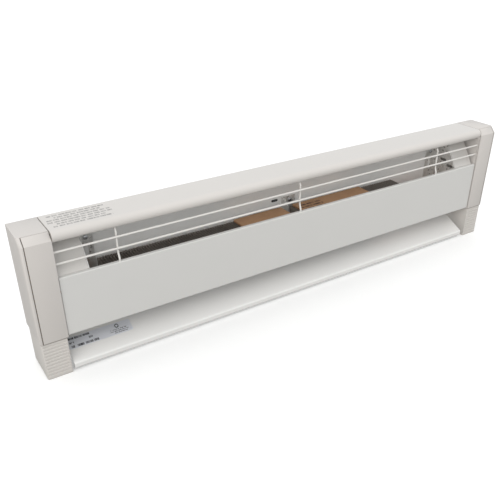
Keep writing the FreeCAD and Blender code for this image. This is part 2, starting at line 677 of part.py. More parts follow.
def baffle(x0, x1):
    """A white sheet that closes the outlet beside the element's end."""
    leg_y, knee, crest_y, crest = baffle_line()
    back_y = INNER_BACK_Y - SHEET / 2
    points = [(leg_y, knee - BAFFLE_LEG), (leg_y, knee), (crest_y, crest), (back_y, crest),
              (back_y, crest - BAFFLE_BACK_LEG)]
    return bent_sheet(points, SHEET, [BEND, BEND, BEND], x0, x1)


# Wiring spaces

def supply_hole_x():
    return (BULKHEAD_X + BOX_STEEL + TAB_X) / 2


def bulkhead():
    """The right steel bulkhead that closes the wiring space."""
    y0 = FRONT_Y + BULKHEAD_FRONT_SETBACK
    top = HEIGHT - BULKHEAD_TOP_DROP
    web = box(BULKHEAD_X, y0, BULKHEAD_BOTTOM_Z, BULKHEAD_X + BOX_STEEL, INNER_BACK_Y, top)
    flange_low = SUPPLY_HOLE_Z + SUPPLY_HOLE_RADIUS + 6
    flange = box(BULKHEAD_X, INNER_BACK_Y - BOX_STEEL, flange_low,
                 BULKHEAD_X + BULKHEAD_FLANGE, INNER_BACK_Y, top)
    holes = [cylinder(SCREW_RADIUS, (bulkhead_screw_x(), BACK_Y - 20, z), (0, 1, 0), 30)
             for z in bulkhead_screw_zs()]
    ground = cylinder(SCREW_RADIUS, ground_screw_place(), (-1, 0, 0), 6)
    chamfer = prism([(y0 - 1, top - 14), (y0 - 1, top + 1), (y0 + 14, top + 1)], BULKHEAD_X - 1,
                    BULKHEAD_X + BOX_STEEL + 1)
    return fuse([web, flange]).cut(holes + [ground, chamfer])


def bulkhead_screw_x():
    return BULKHEAD_X + BULKHEAD_FLANGE - 5


def bulkhead_screw_zs():
    return (SUPPLY_HOLE_Z + SUPPLY_HOLE_RADIUS + 14, HEIGHT - BULKHEAD_TOP_DROP - 12)


def ground_screw_place():
    return (BULKHEAD_X + BOX_STEEL, AXIS_Y + 18, HEIGHT - 40)


def left_bulkhead():
    wall_x = -(BULKHEAD_X + BOX_STEEL + 1)
    cutters = [cylinder(GROMMET_HOLE_RADIUS, (wall_x, AXIS_Y, AXIS_Z), (1, 0, 0), 6),
               cylinder(BUSHING_RADIUS, (wall_x, CAPILLARY_Y, CAPILLARY_Z), (1, 0, 0), 6)]
    return mirrored(bulkhead()).cut(cutters)


def lead_grommet():
    outer_x = -(BULKHEAD_X + BOX_STEEL)
    inner_x = -CAP_X
    neck = cylinder(GROMMET_HOLE_RADIUS, (outer_x, AXIS_Y, AXIS_Z), (1, 0, 0), inner_x - outer_x)
    lips = [cylinder(GROMMET_HOLE_RADIUS + GROMMET_LIP, (x, AXIS_Y, AXIS_Z), (1, 0, 0),
                     GROMMET_LIP_LENGTH) for x in (outer_x - GROMMET_LIP_LENGTH, inner_x)]
    bore = cylinder(GROMMET_HOLE_RADIUS - GROMMET_WALL, (outer_x - 5, AXIS_Y, AXIS_Z), (1, 0, 0), 20)
    return fuse([neck] + lips).cut(bore)


def limit_switch():
    """The limit control, screwed to the left bulkhead, with its two terminals."""
    size_x, size_y, size_z = SWITCH_SIZE
    x1 = -(BULKHEAD_X + BOX_STEEL) - 2.0
    y0 = CAPILLARY_Y - 2.6
    z0 = CAPILLARY_Z - size_z / 2
    body = box(x1 - size_x, y0, z0, x1, y0 + size_y, z0 + size_z)
    body = body.makeChamfer(1.0, [e for e in body.Edges if e.BoundBox.ZLength > size_z - 1])
    ear = box(x1 - 0.5, y0 + 2, z0 + size_z - 6, x1 + 2.0, y0 + size_y - 2, z0 + size_z)
    low_ear = box(x1 - 0.5, y0 + 2, z0, x1 + 2.0, y0 + size_y - 2, z0 + 6)
    return fuse([body, ear, low_ear])


def switch_terminals():
    size_x, size_y, size_z = SWITCH_SIZE
    x1 = -(BULKHEAD_X + BOX_STEEL) - 2.0
    y0 = CAPILLARY_Y - 2.6 + size_y
    z = CAPILLARY_Z
    blades = []
    for x in (x1 - size_x * 0.3, x1 - size_x * 0.7):
        blade = box(x - 3.0, y0, z - 0.4, x + 3.0, y0 + 8, z + 0.4)
        blades.append(blade.cut(cylinder(0.9, (x, y0 + 5.5, z - 2), (0, 0, 1), 4)))
    return blades


def limit_capillary():
    start = -(BULKHEAD_X + BOX_STEEL) - 2.0
    end = RIGHT_BRACKET_X - CAPILLARY_END_GAP
    return cylinder(CAPILLARY_RADIUS, (start, CAPILLARY_Y, CAPILLARY_Z), (1, 0, 0), end - start)


def capillary_bushings():
    places = [-(BULKHEAD_X + BOX_STEEL / 2)]
    places += [web_x + way * GALVANISED / 2 for web_x, way, *_ in list(brackets().values())[:2]]
    bushings = []
    for x in places:
        bushings.append(ring(BUSHING_RADIUS, CAPILLARY_RADIUS + BUSHING_CLEARANCE,
                             (x - BUSHING_LENGTH / 2, CAPILLARY_Y, CAPILLARY_Z), (1, 0, 0),
                             BUSHING_LENGTH))
    return bushings


def knockout_slug():
    return cylinder(SUPPLY_HOLE_RADIUS - 0.05, (supply_hole_x(), INNER_BACK_Y, SUPPLY_HOLE_Z),
                    (0, 1, 0), SHEET)


# Heating element

def tube_ends():
    return LEFT_BRACKET_X - TUBE_LEFT_TAIL, RIGHT_BRACKET_X + TUBE_RIGHT_TAIL


def fluid_tube():
    left, right = tube_ends()
    return ring(TUBE_RADIUS, TUBE_RADIUS - TUBE_WALL, (left, AXIS_Y, AXIS_Z), (1, 0, 0),
                right - left)


def fin_blank():
    """One fin at x = 0: a plate with its front and back edges folded, and the tube's hole."""
    y0, y1 = AXIS_Y - FIN_WIDTH / 2, AXIS_Y + FIN_WIDTH / 2
    z0, z1 = AXIS_Z - FIN_HEIGHT / 2, AXIS_Z + FIN_HEIGHT / 2
    blank = box(0, y0, z0, FIN_THICKNESS, y1, z1)
    corners = [e for e in blank.Edges if e.BoundBox.XLength > FIN_THICKNESS / 2]
    blank = blank.makeFillet(FIN_CORNER, corners)
    blank = blank.cut(cylinder(TUBE_RADIUS, (-1, AXIS_Y, AXIS_Z), (1, 0, 0), FIN_THICKNESS + 2))
    fold = FIN_PITCH - FIN_FOLD_GAP
    edges = [box(0, y, z0 + FIN_CORNER, fold, y + FIN_THICKNESS, z1 - FIN_CORNER)
             for y in (y0, y1 - FIN_THICKNESS)]
    return blank.fuse(edges)


def fin_pack(first, last):
    """Fins pressed together on the tube: each collar reaches the next fin."""
    count = int((last - first) / FIN_PITCH)
    blank = fin_blank()
    fins = []
    for n in range(count):
        fin = blank.copy()
        fin.translate(V(first + n * FIN_PITCH, 0, 0))
        fins.append(fin)
    collar = ring(TUBE_RADIUS + FIN_COLLAR_WALL, TUBE_RADIUS, (first, AXIS_Y, AXIS_Z), (1, 0, 0),
                  (count - 1) * FIN_PITCH + FIN_THICKNESS)
    return collar.fuse(fins)


def end_fitting(face_x, way):
    """A brass hexagon plug, soldered into the tube's end."""
    radius = FITTING_AF / math.sqrt(3)
    corners = [V(face_x, AXIS_Y + radius * math.cos(n * math.pi / 3),
                 AXIS_Z + radius * math.sin(n * math.pi / 3)) for n in range(6)]
    hexagon = Part.Face(Part.makePolygon(corners + corners[:1])).extrude(V(way * FITTING_HEX, 0, 0))
    spigot = cylinder(TUBE_RADIUS - TUBE_WALL, (face_x, AXIS_Y, AXIS_Z), (-way, 0, 0),
                      FITTING_SPIGOT)
    boss = cylinder(TUBE_RADIUS - 2, (face_x, AXIS_Y, AXIS_Z), (way, 0, 0), FITTING_HEX + 2)
    return fuse([hexagon, spigot, boss])


def left_end_fitting():
    face_x = tube_ends()[0]
    bore = cylinder(ROD_HEATER_RADIUS, (face_x - 20, AXIS_Y, AXIS_Z), (1, 0, 0), 60)
    return end_fitting(face_x, -1).cut(bore)


def right_end_fitting():
    face_x = tube_ends()[1]
    fill_tube = cylinder(2.4, (face_x + FITTING_HEX + 2, AXIS_Y, AXIS_Z), (1, 0, 0), 6.0)
    return fuse([end_fitting(face_x, 1), fill_tube])


def rod_face_x():
    """Outer end of the heating rod, flush with the left fitting's boss."""
    return tube_ends()[0] - FITTING_HEX - 2


def heating_rod():
    end = RIGHT_BRACKET_X - RIGHT_BARE_TUBE - ROD_HEATER_END_GAP
    return cylinder(ROD_HEATER_RADIUS, (rod_face_x(), AXIS_Y, AXIS_Z), (1, 0, 0),
                    end - rod_face_x())


def terminal_insulator():
    body = cylinder(INSULATOR_RADIUS, (rod_face_x(), AXIS_Y, AXIS_Z), (-1, 0, 0), INSULATOR_LENGTH)
    bores = [cylinder(PIN_RADIUS, (rod_face_x() + 1, y, AXIS_Z), (-1, 0, 0), INSULATOR_LENGTH + 2)
             for y in LEADS_Y]
    return body.cut(bores)


def terminal_pins():
    return [cylinder(PIN_RADIUS, (rod_face_x(), y, AXIS_Z), (-1, 0, 0), PIN_LENGTH)
            for y in LEADS_Y]


def element_leads():
    """Two insulated leads from the terminal pins to the wire nuts."""
    leads = []
    start = rod_face_x() - PIN_LENGTH
    turn_x = -(BULKHEAD_X + LEAD_RUN)
    for y, drop in zip(LEADS_Y, (0.0, 12.0)):
        side = -4.0 if y < AXIS_Y else 4.0
        points = [(start, y, AXIS_Z), (turn_x + 6, y, AXIS_Z), (turn_x, y + side, AXIS_Z - 6),
                  (turn_x, y + side, AXIS_Z - LEAD_DROP + drop / 2)]
        leads.append(wire_rod(points, LEAD_RADIUS, LEAD_BEND * 0.5))
    return leads


def wire_nuts():
    """Twist-on nuts: each hangs from the end of a lead, with its tip down."""
    nuts = []
    turn_x = -(BULKHEAD_X + LEAD_RUN)
    for y, drop in zip(LEADS_Y, (0.0, 12.0)):
        side = -4.0 if y < AXIS_Y else 4.0
        top = AXIS_Z - LEAD_DROP + drop / 2
        cone = Part.makeCone(NUT_TIP_RADIUS, NUT_RADIUS, NUT_LENGTH,
                             V(turn_x, y + side, top - NUT_LENGTH), V(0, 0, 1))
        nuts.append(cone)
    return nuts


# Fasteners

def bracket_screws():
    screws = []
    for web_x, way, drop, _ in brackets().values():
        x = web_x + way * BACK_FLANGE_WIDTH * 0.6
        for z in bracket_screw_zs(HEIGHT - drop):
            screws.append(pan_screw((x, INNER_BACK_Y - GALVANISED, z), (0, 1, 0),
                                    GALVANISED + SHEET))
    return screws


def foot_screws():
    return [pan_screw((side * x, INNER_BACK_Y - FOOT_WALL, z), (0, 1, 0), FOOT_WALL + SHEET)
            for side in (-1, 1) for x, z in foot_screw_places()]


def cap_screws():
    return [pan_screw((side * cap_lug_x(), INNER_BACK_Y - CAP_WALL, z), (0, 1, 0),
                      CAP_WALL + SHEET) for side in (-1, 1) for z in cap_lug_zs()]


def bulkhead_screws():
    return [pan_screw((side * bulkhead_screw_x(), INNER_BACK_Y - BOX_STEEL, z), (0, 1, 0),
                      BOX_STEEL + SHEET) for side in (-1, 1) for z in bulkhead_screw_zs()]


def ground_screws():
    x, y, z = ground_screw_place()
    screw = pan_screw((x, y, z), (-1, 0, 0), BOX_STEEL)
    return [screw, mirrored(screw)]


def screw_seats():
    """Where every screw in the back panel goes, as (x, y, z)."""
    seats = []
    for web_x, way, drop, _ in brackets().values():
        x = web_x + way * BACK_FLANGE_WIDTH * 0.6
        seats += [(x, BACK_Y, z) for z in bracket_screw_zs(HEIGHT - drop)]
    for side in (-1, 1):
        seats += [(side * x, BACK_Y, z) for x, z in foot_screw_places()]
        seats += [(side * cap_lug_x(), BACK_Y, z) for z in cap_lug_zs()]
        seats += [(side * bulkhead_screw_x(), BACK_Y, z) for z in bulkhead_screw_zs()]
    return seats


# Label and packing cards

def rating_label():
    """A thin label on the sloped pan at the left end."""
    front, back = pan_line()
    slope = math.atan2(back[1] - front[1], back[0] - front[0])
    x0 = -CAP_X + PAN_LEFT_GAP + LABEL_FROM_END
    plate = box(0, 0, 0, LABEL_LENGTH, LABEL_WIDTH, LABEL_THICKNESS)
    plate = plate.makeFillet(2.0, [e for e in plate.Edges if e.BoundBox.ZLength > LABEL_THICKNESS / 2])
    plate.rotate(V(0, 0, 0), V(1, 0, 0), math.degrees(slope))
    lift = SHEET / 2
    run = LABEL_BACK + LABEL_WIDTH * math.cos(slope)
    y = back[0] - run
    z = back[1] - run * math.tan(slope)
    plate.translate(V(x0, y - lift * math.sin(slope), z + lift * math.cos(slope)))
    return plate


def packing_card(x0, x1):
    y0 = AXIS_Y - FIN_WIDTH / 2 + 1.5
    return box(x0, y0, FIN_TOP_Z, x1, y0 + CARD_WIDTH, FIN_TOP_Z + CARD_THICKNESS)


def save(name, solids):
    """Write one node, as a single solid or as a group of separate solids."""
    group = solids if isinstance(solids, list) else [solids]
    found = [solid for shape in group for solid in shape.Solids]
    shape = found[0] if len(found) == 1 else Part.makeCompound(found)
    if not shape.isValid():
        print("NOT VALID", name)
    bounds = shape.BoundBox
    print(f"{name:26s} solids {len(found):3d} volume {shape.Volume:11.1f}  "
          f"x {bounds.XMin:8.2f} {bounds.XMax:8.2f}  y {bounds.YMin:7.2f} {bounds.YMax:7.2f}  "
          f"z {bounds.ZMin:7.2f} {bounds.ZMax:7.2f}")
    shape.exportStep(f"parts/{name}.step")


def main():
    os.makedirs("parts", exist_ok=True)
    save("back_panel", back_panel())
    save("top_cover", top_cover())
    save("front_panel", front_panel())
    save("guard_rods", guard_rods())
    save("guard_struts", [guard_strut(x) for x in STRUT_XS])
    save("left_end_cap", left_end_cap())
    save("right_end_cap", end_cap())
    save("left_access_cover", mirrored(access_cover()))
    save("right_access_cover", access_cover())
    save("left_foot", mirrored(foot()))
    save("right_foot", foot())
    for name, (web_x, way, drop, closed) in brackets().items():
        save(name, bracket(web_x, way, drop, closed))
        save(name.replace("element_bracket", "tube_glide"), glide(web_x, way, closed))
    save("left_baffle", baffle(-CAP_X + BAFFLE_LEFT_GAP, LEFT_BRACKET_X - FACE_GAP))
    save("right_baffle", baffle(RIGHT_BRACKET_X + FACE_GAP, CAP_X - BAFFLE_RIGHT_GAP))
    save("left_wiring_bulkhead", left_bulkhead())
    save("right_wiring_bulkhead", bulkhead())
    save("lead_grommet", lead_grommet())
    save("knockout_slug", knockout_slug())
    save("slot_plug", slot_plug())
    save("limit_switch", limit_switch())
    save("switch_terminals", switch_terminals())
    save("limit_capillary", limit_capillary())
    save("capillary_bushings", capillary_bushings())
    save("fluid_tube", fluid_tube())
    save("left_fin_pack", fin_pack(LEFT_BRACKET_X + LEFT_FIN_GAP,
                                   CENTRE_BRACKET_X - CENTRE_FIN_GAP))
    save("right_fin_pack", fin_pack(CENTRE_BRACKET_X + GALVANISED + CENTRE_FIN_GAP,
                                    RIGHT_BRACKET_X - RIGHT_BARE_TUBE))
    save("left_end_fitting", left_end_fitting())
    save("right_end_fitting", right_end_fitting())
    save("heating_rod", heating_rod())
    save("terminal_insulator", terminal_insulator())
    save("terminal_pins", terminal_pins())
    save("element_leads", element_leads())
    save("wire_nuts", wire_nuts())
    save("bracket_screws", bracket_screws())
    save("foot_screws", foot_screws())
    save("cap_screws", cap_screws())
    save("bulkhead_screws", bulkhead_screws())
    save("ground_screws", ground_screws())
    save("rating_label", rating_label())
    left_edge = CENTRE_BRACKET_X - LEFT_CARD_GAP
    right_edge = CENTRE_BRACKET_X + GALVANISED + RIGHT_CARD_GAP
    save("left_packing_card", packing_card(left_edge - LEFT_CARD_LENGTH, left_edge))
    save("right_packing_card", packing_card(right_edge, right_edge + RIGHT_CARD_LENGTH))


main()
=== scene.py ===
# %% [markdown]
# # A baseboard heater in Blender
#
# The heater's steel sheets, mouldings, fins and brackets come in as a finished CAD model. This
# lesson gives them their finishes, models the small pieces that CAD left plain, and sets up a soft
# white studio. Everything is in metres, in the CAD model's own frame: +X runs along the heater,
# -Y is the room side and +Z is up, with the floor at zero.

# %% Load the CAD frame
import math

import bmesh
import bpy
from mathutils import Euler, Matrix, Vector


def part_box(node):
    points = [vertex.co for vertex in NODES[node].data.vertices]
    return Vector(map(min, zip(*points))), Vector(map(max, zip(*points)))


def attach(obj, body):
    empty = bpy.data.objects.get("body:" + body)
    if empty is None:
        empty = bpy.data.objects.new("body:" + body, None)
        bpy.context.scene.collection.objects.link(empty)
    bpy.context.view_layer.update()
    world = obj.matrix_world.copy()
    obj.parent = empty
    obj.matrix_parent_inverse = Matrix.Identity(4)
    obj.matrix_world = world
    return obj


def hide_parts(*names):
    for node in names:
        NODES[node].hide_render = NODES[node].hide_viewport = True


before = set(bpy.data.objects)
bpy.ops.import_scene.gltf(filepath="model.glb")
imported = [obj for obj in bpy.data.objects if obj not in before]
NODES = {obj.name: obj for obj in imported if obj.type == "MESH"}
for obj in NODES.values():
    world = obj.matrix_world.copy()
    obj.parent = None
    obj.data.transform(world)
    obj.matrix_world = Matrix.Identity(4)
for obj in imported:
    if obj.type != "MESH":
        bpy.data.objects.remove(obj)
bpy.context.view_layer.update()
MM = 0.001

# %% [markdown]
# ## Camera
#
# The heater is seen from above its left end, from rather close, so the near end looks much taller
# than the far one. A camera can be aimed with a Track To constraint, but here it is simply given
# its place and its azimuth and elevation, because those two angles describe the view. A small
# upward shift frames the heater without tilting the verticals any further.

# %% Camera
EYE = Vector((-0.6025, -0.7843, 0.5788))
AZIMUTH = math.radians(-32.64)
ELEVATION = math.radians(30.39)
ROLL = math.radians(0.16)
LENS = 44.2
SHIFT = (0.0072, 0.068)

camera_data = bpy.data.cameras.new("studio_camera")
camera = bpy.data.objects.new("studio_camera", camera_data)
bpy.context.scene.collection.objects.link(camera)
camera.location = EYE
camera.rotation_mode = "XYZ"
camera.rotation_euler = (math.pi / 2 - ELEVATION, ROLL, AZIMUTH)
camera_data.lens = LENS
camera_data.sensor_width = 36.0
camera_data.shift_x, camera_data.shift_y = SHIFT
camera_data.clip_start = 0.01
bpy.context.scene.camera = camera
print("camera at", tuple(round(v, 3) for v in EYE), "lens", LENS)

# %% [markdown]
# ## Studio
#
# White enamel shows its shape only through soft differences of light. A window and a few lamps
# would leave hard pools, so most of the light here comes from an even, slightly cool world that
# keeps the shadows open. A weaker, wide and warm sun from the room side and the left gives the
# shape, with very soft edges, and it reaches the whole floor equally. The world is
# shown brighter to the camera than it lights, as a lit paper backdrop would be, and the floor
# gives back less light than it shows, so that the heater's front isn't flooded from below. The
# floor is one big pale sheet, and it isn't part of the heater.

# %% Floor
FLOOR_SIZE = 60.0
FLOOR_COLOR = (0.96, 0.96, 0.96, 1)
FLOOR_GLOW = 0.14
FLOOR_BOUNCE = (0.43, 0.428, 0.42, 1)

bpy.ops.object.select_all(action="DESELECT")
bpy.ops.mesh.primitive_plane_add(size=FLOOR_SIZE, location=(0, 0, 0))
floor = bpy.context.object
floor.name = "studio_floor"
floor_material = bpy.data.materials.new("pale_floor")
floor_material.use_nodes = True
floor_shader = floor_material.node_tree.nodes["Principled BSDF"]
floor_shader.inputs["Base Color"].default_value = FLOOR_COLOR
floor_shader.inputs["Roughness"].default_value = 1.0
floor_shader.inputs["Specular IOR Level"].default_value = 0.0
floor_shader.inputs["Emission Color"].default_value = (1, 1, 1, 1)
floor_shader.inputs["Emission Strength"].default_value = FLOOR_GLOW
floor.data.materials.append(floor_material)

floor_tree = floor_material.node_tree
dim_floor = floor_tree.nodes.new("ShaderNodeBsdfDiffuse")
dim_floor.inputs["Color"].default_value = FLOOR_BOUNCE
floor_ray = floor_tree.nodes.new("ShaderNodeLightPath")
floor_mix = floor_tree.nodes.new("ShaderNodeMixShader")
floor_tree.links.new(floor_ray.outputs["Is Camera Ray"], floor_mix.inputs["Fac"])
floor_tree.links.new(dim_floor.outputs[0], floor_mix.inputs[1])
floor_tree.links.new(floor_shader.outputs[0], floor_mix.inputs[2])
floor_tree.links.new(floor_mix.outputs[0], floor_tree.nodes["Material Output"].inputs["Surface"])
print("floor:", floor.name)

# %% Sun and world
SUN_ENERGY = 1.1
SUN_SPREAD = math.radians(55)
SUN_COLOR = (1.0, 0.965, 0.92)
SUN_FROM = Vector((-0.55, -0.62, 0.56))
WORLD_LIGHT = 0.87
BACKDROP = 1.05

sun_data = bpy.data.lights.new("room_side_sun", "SUN")
sun_data.energy = SUN_ENERGY
sun_data.angle = SUN_SPREAD
sun_data.color = SUN_COLOR
sun = bpy.data.objects.new("room_side_sun", sun_data)
bpy.context.scene.collection.objects.link(sun)
sun.rotation_euler = SUN_FROM.to_track_quat("Z", "Y").to_euler()

world = bpy.data.worlds.new("studio_world")
bpy.context.scene.world = world
world.use_nodes = True
world_tree = world.node_tree
world_light = world_tree.nodes["Background"]
world_light.inputs["Color"].default_value = (0.97, 0.99, 1.0, 1)
world_light.inputs["Strength"].default_value = WORLD_LIGHT
backdrop = world_tree.nodes.new("ShaderNodeBackground")
backdrop.inputs["Color"].default_value = (1, 1, 1, 1)
backdrop.inputs["Strength"].default_value = BACKDROP
seen_or_lit = world_tree.nodes.new("ShaderNodeMixShader")
ray = world_tree.nodes.new("ShaderNodeLightPath")
world_tree.links.new(ray.outputs["Is Camera Ray"], seen_or_lit.inputs["Fac"])
world_tree.links.new(world_light.outputs[0], seen_or_lit.inputs[1])
world_tree.links.new(backdrop.outputs[0], seen_or_lit.inputs[2])
world_tree.links.new(seen_or_lit.outputs[0], world_tree.nodes["World Output"].inputs["Surface"])
bpy.context.scene.view_settings.view_transform = "Standard"
print("sun energy", SUN_ENERGY, "world light", WORLD_LIGHT)

# %% [markdown]
# ## Node helpers
#
# Materials are built from nodes in code. A few small helpers keep that readable: one adds a node
# and sets its values, one links, one does a step of arithmetic, and one makes a new material with
# its Principled shader ready. Steps of arithmetic are the commonest thing in a procedural
# pattern, so the math helper takes numbers and sockets alike.

# %% Node helpers
def add_node(tree, kind, **values):
    """A new node; a value whose name is a socket sets the socket, and any other is a property."""
    node = tree.nodes.new(kind)
    for name, value in values.items():
        if hasattr(node, name):
            setattr(node, name, value)
        else:
            node.inputs[name.replace("_", " ")].default_value = value
    return node


def link(tree, source, target):
    tree.links.new(source, target)


def new_material(name, color, roughness, metallic=0.0, **sockets):
    """A material with plain values on its Principled shader."""
    material = bpy.data.materials.new(name)
    material.use_nodes = True
    shader = material.node_tree.nodes["Principled BSDF"]
    shader.inputs["Base Color"].default_value = (*color, 1)
    shader.inputs["Roughness"].default_value = roughness
    shader.inputs["Metallic"].default_value = metallic
    for socket, value in sockets.items():
        shader.inputs[socket.replace("_", " ")].default_value = value
    return material, material.node_tree, shader


def object_coordinates(tree):
    return add_node(tree, "ShaderNodeTexCoord").outputs["Object"]


def math_node(tree, operation, first, second=None, clamp=False):
    """One math step. Each operand is a number or another node's output."""
    node = add_node(tree, "ShaderNodeMath", operation=operation, use_clamp=clamp)
    for socket, operand in zip(node.inputs, (first, second)):
        if operand is None:
            continue
        if isinstance(operand, (int, float)):
            socket.default_value = operand
        else:
            link(tree, operand, socket)
    return node.outputs[0]


def product(tree, *factors):
    """Multiplies masks together."""
    result = factors[0]
    for factor in factors[1:]:
        result = math_node(tree, "MULTIPLY", result, factor)
    return result


def between(tree, value, low, high):
    """A mask that is one where low < value < high."""
    above = math_node(tree, "GREATER_THAN", value, low)
    below = math_node(tree, "LESS_THAN", value, high)
    return product(tree, above, below)


def mixed(tree, mask, first, second):
    """A colour mix. Each colour is a triple or another node's output."""
    node = add_node(tree, "ShaderNodeMix", data_type="RGBA")
    link(tree, mask, node.inputs["Factor"])
    for socket, color in zip(("A", "B"), (first, second)):
        slot = [s for s in node.inputs if s.name == socket and s.type == "RGBA"][0]
        if isinstance(color, tuple):
            slot.default_value = (*color, 1)
        else:
            link(tree, color, slot)
    return [s for s in node.outputs if s.type == "RGBA"][0]


def finish_nodes(names, material):
    """Gives CAD nodes their finish through their own material slots."""
    for name in names:
        for slot in NODES[name].material_slots:
            slot.material = material


print("node helpers ready")

# %% [markdown]
# ## Shared surface groups
#
# Three effects come back in many finishes, so each is a node group with named inputs that every
# material sets for itself. *Mottle* is the faint unevenness of any real surface: a colour, a
# roughness and a height that wander a little. *Brushed* is the fine streaking that rolling or
# drawing leaves along a metal. *Print rows* draws rows of short bars in irregular words, which is
# how small printing looks from where it can't be read.

# %% Group maker
def new_group(name, inputs, outputs):
    """An empty node group: inputs are (name, value) and outputs are (name, kind)."""
    kinds = {tuple: "NodeSocketColor", float: "NodeSocketFloat", type(None): "NodeSocketVector"}
    group = bpy.data.node_groups.new(name, "ShaderNodeTree")
    for label, value in inputs:
        socket = group.interface.new_socket(label, in_out="INPUT", socket_type=kinds[type(value)])
        if value is not None:
            socket.default_value = value
    for label, kind in outputs:
        group.interface.new_socket(label, in_out="OUTPUT", socket_type="NodeSocket" + kind)
    source = add_node(group, "NodeGroupInput").outputs
    sink = add_node(group, "NodeGroupOutput").inputs
    return group, source, sink


def place_group(tree, group, **values):
    """A group in a material, reading object coordinates, with its own values."""
    node = add_node(tree, "ShaderNodeGroup", node_tree=group)
    link(tree, object_coordinates(tree), node.inputs["Vector"])
    for name, value in values.items():
        socket = node.inputs[name.replace("_", " ")]
        socket.default_value = (*value, 1) if isinstance(value, tuple) else value
    return node


print("group helpers ready")

# %% Mottle group
def make_mottle_group():
    group, source, sink = new_group(
        "surface_mottle",
        (("Vector", None), ("Color", (0.8, 0.8, 0.8, 1)), ("Scale", 20.0), ("Tone", 0.03),
         ("Roughness", 0.4), ("Roughness Spread", 0.05), ("Grain Scale", 900.0)),
        (("Color", "Color"), ("Roughness", "Float"), ("Height", "Float")))
    cloud = add_node(group, "ShaderNodeTexNoise", Detail=4.0, Roughness=0.6)
    link(group, source["Vector"], cloud.inputs["Vector"])
    link(group, source["Scale"], cloud.inputs["Scale"])
    grain = add_node(group, "ShaderNodeTexNoise", Detail=2.0)
    link(group, source["Vector"], grain.inputs["Vector"])
    link(group, source["Grain Scale"], grain.inputs["Scale"])
    centred = math_node(group, "SUBTRACT", cloud.outputs["Fac"], 0.5)
    tone = product(group, centred, source["Tone"])
    gain = math_node(group, "ADD", math_node(group, "MULTIPLY", tone, 4.0), 1.0)
    tinted = add_node(group, "ShaderNodeVectorMath", operation="SCALE")
    link(group, source["Color"], tinted.inputs[0])
    link(group, gain, tinted.inputs["Scale"])
    link(group, tinted.outputs[0], sink["Color"])
    spread = product(group, centred, source["Roughness Spread"])
    rough = math_node(group, "ADD", source["Roughness"], math_node(group, "MULTIPLY", spread, 4.0))
    link(group, rough, sink["Roughness"])
    link(group, grain.outputs["Fac"], sink["Height"])
    return group


MOTTLE = make_mottle_group()
print("group:", MOTTLE.name)

# %% Brushed group
def make_brushed_group():
    """Streaks along X: the coordinates are squeezed along X before the noise reads them."""
    group, source, sink = new_group(
        "brushed_streaks", (("Vector", None), ("Fineness", 700.0), ("Stretch", 0.03)),
        (("Streaks", "Float"),))
    split = add_node(group, "ShaderNodeSeparateXYZ")
    link(group, source["Vector"], split.inputs[0])
    joined = add_node(group, "ShaderNodeCombineXYZ")
    link(group, product(group, split.outputs["X"], source["Stretch"]), joined.inputs["X"])
    link(group, split.outputs["Y"], joined.inputs["Y"])
    link(group, split.outputs["Z"], joined.inputs["Z"])
    streaks = add_node(group, "ShaderNodeTexNoise", Detail=3.0)
    link(group, joined.outputs[0], streaks.inputs["Vector"])
    link(group, source["Fineness"], streaks.inputs["Scale"])
    link(group, streaks.outputs["Fac"], sink["Streaks"])
    return group


BRUSHED = make_brushed_group()
print("group:", BRUSHED.name)

# %% Print rows group
def make_print_group():
    """Rows of bars. The vector's X runs along a row and its Y runs across the rows."""
    group, source, sink = new_group(
        "print_rows", (("Vector", None), ("Row Pitch", 0.007), ("Row Fill", 0.5),
                       ("Letter", 0.0016), ("Word", 0.012), ("Seed", 0.0)),
        (("Mask", "Float"),))
    split = add_node(group, "ShaderNodeSeparateXYZ")
    link(group, source["Vector"], split.inputs[0])
    rows = math_node(group, "DIVIDE", split.outputs["Y"], source["Row Pitch"])
    row = math_node(group, "ADD", math_node(group, "FLOOR", rows), source["Seed"])
    in_row = math_node(group, "LESS_THAN", math_node(group, "FRACT", rows), source["Row Fill"])
    shift = add_node(group, "ShaderNodeTexWhiteNoise", noise_dimensions="1D")
    link(group, row, shift.inputs["W"])
    start = product(group, shift.outputs["Value"], source["Word"])
    place = math_node(group, "ADD", split.outputs["X"], start)
    letter = math_node(group, "FLOOR", math_node(group, "DIVIDE", place, source["Letter"]))
    letters = add_node(group, "ShaderNodeTexWhiteNoise", noise_dimensions="2D")
    cell = add_node(group, "ShaderNodeCombineXYZ")
    link(group, letter, cell.inputs["X"])
    link(group, row, cell.inputs["Y"])
    link(group, cell.outputs[0], letters.inputs["Vector"])
    ink = math_node(group, "MULTIPLY", letters.outputs["Value"], 0.55)
    inked = math_node(group, "ADD", ink, 0.45)
    words = math_node(group, "DIVIDE", place, source["Word"])
    word = math_node(group, "FLOOR", words)
    gaps = add_node(group, "ShaderNodeTexWhiteNoise", noise_dimensions="2D")
    word_cell = add_node(group, "ShaderNodeCombineXYZ")
    link(group, word, word_cell.inputs["X"])
    link(group, math_node(group, "ADD", row, 17.3), word_cell.inputs["Y"])
    link(group, word_cell.outputs[0], gaps.inputs["Vector"])
    reach = math_node(group, "ADD", math_node(group, "MULTIPLY", gaps.outputs["Value"], 0.25), 0.7)
    in_word = math_node(group, "LESS_THAN", math_node(group, "FRACT", words), reach)
    link(group, product(group, in_row, inked, in_word), sink["Mask"])
    return group


PRINT_ROWS = make_print_group()
print("group:", PRINT_ROWS.name)

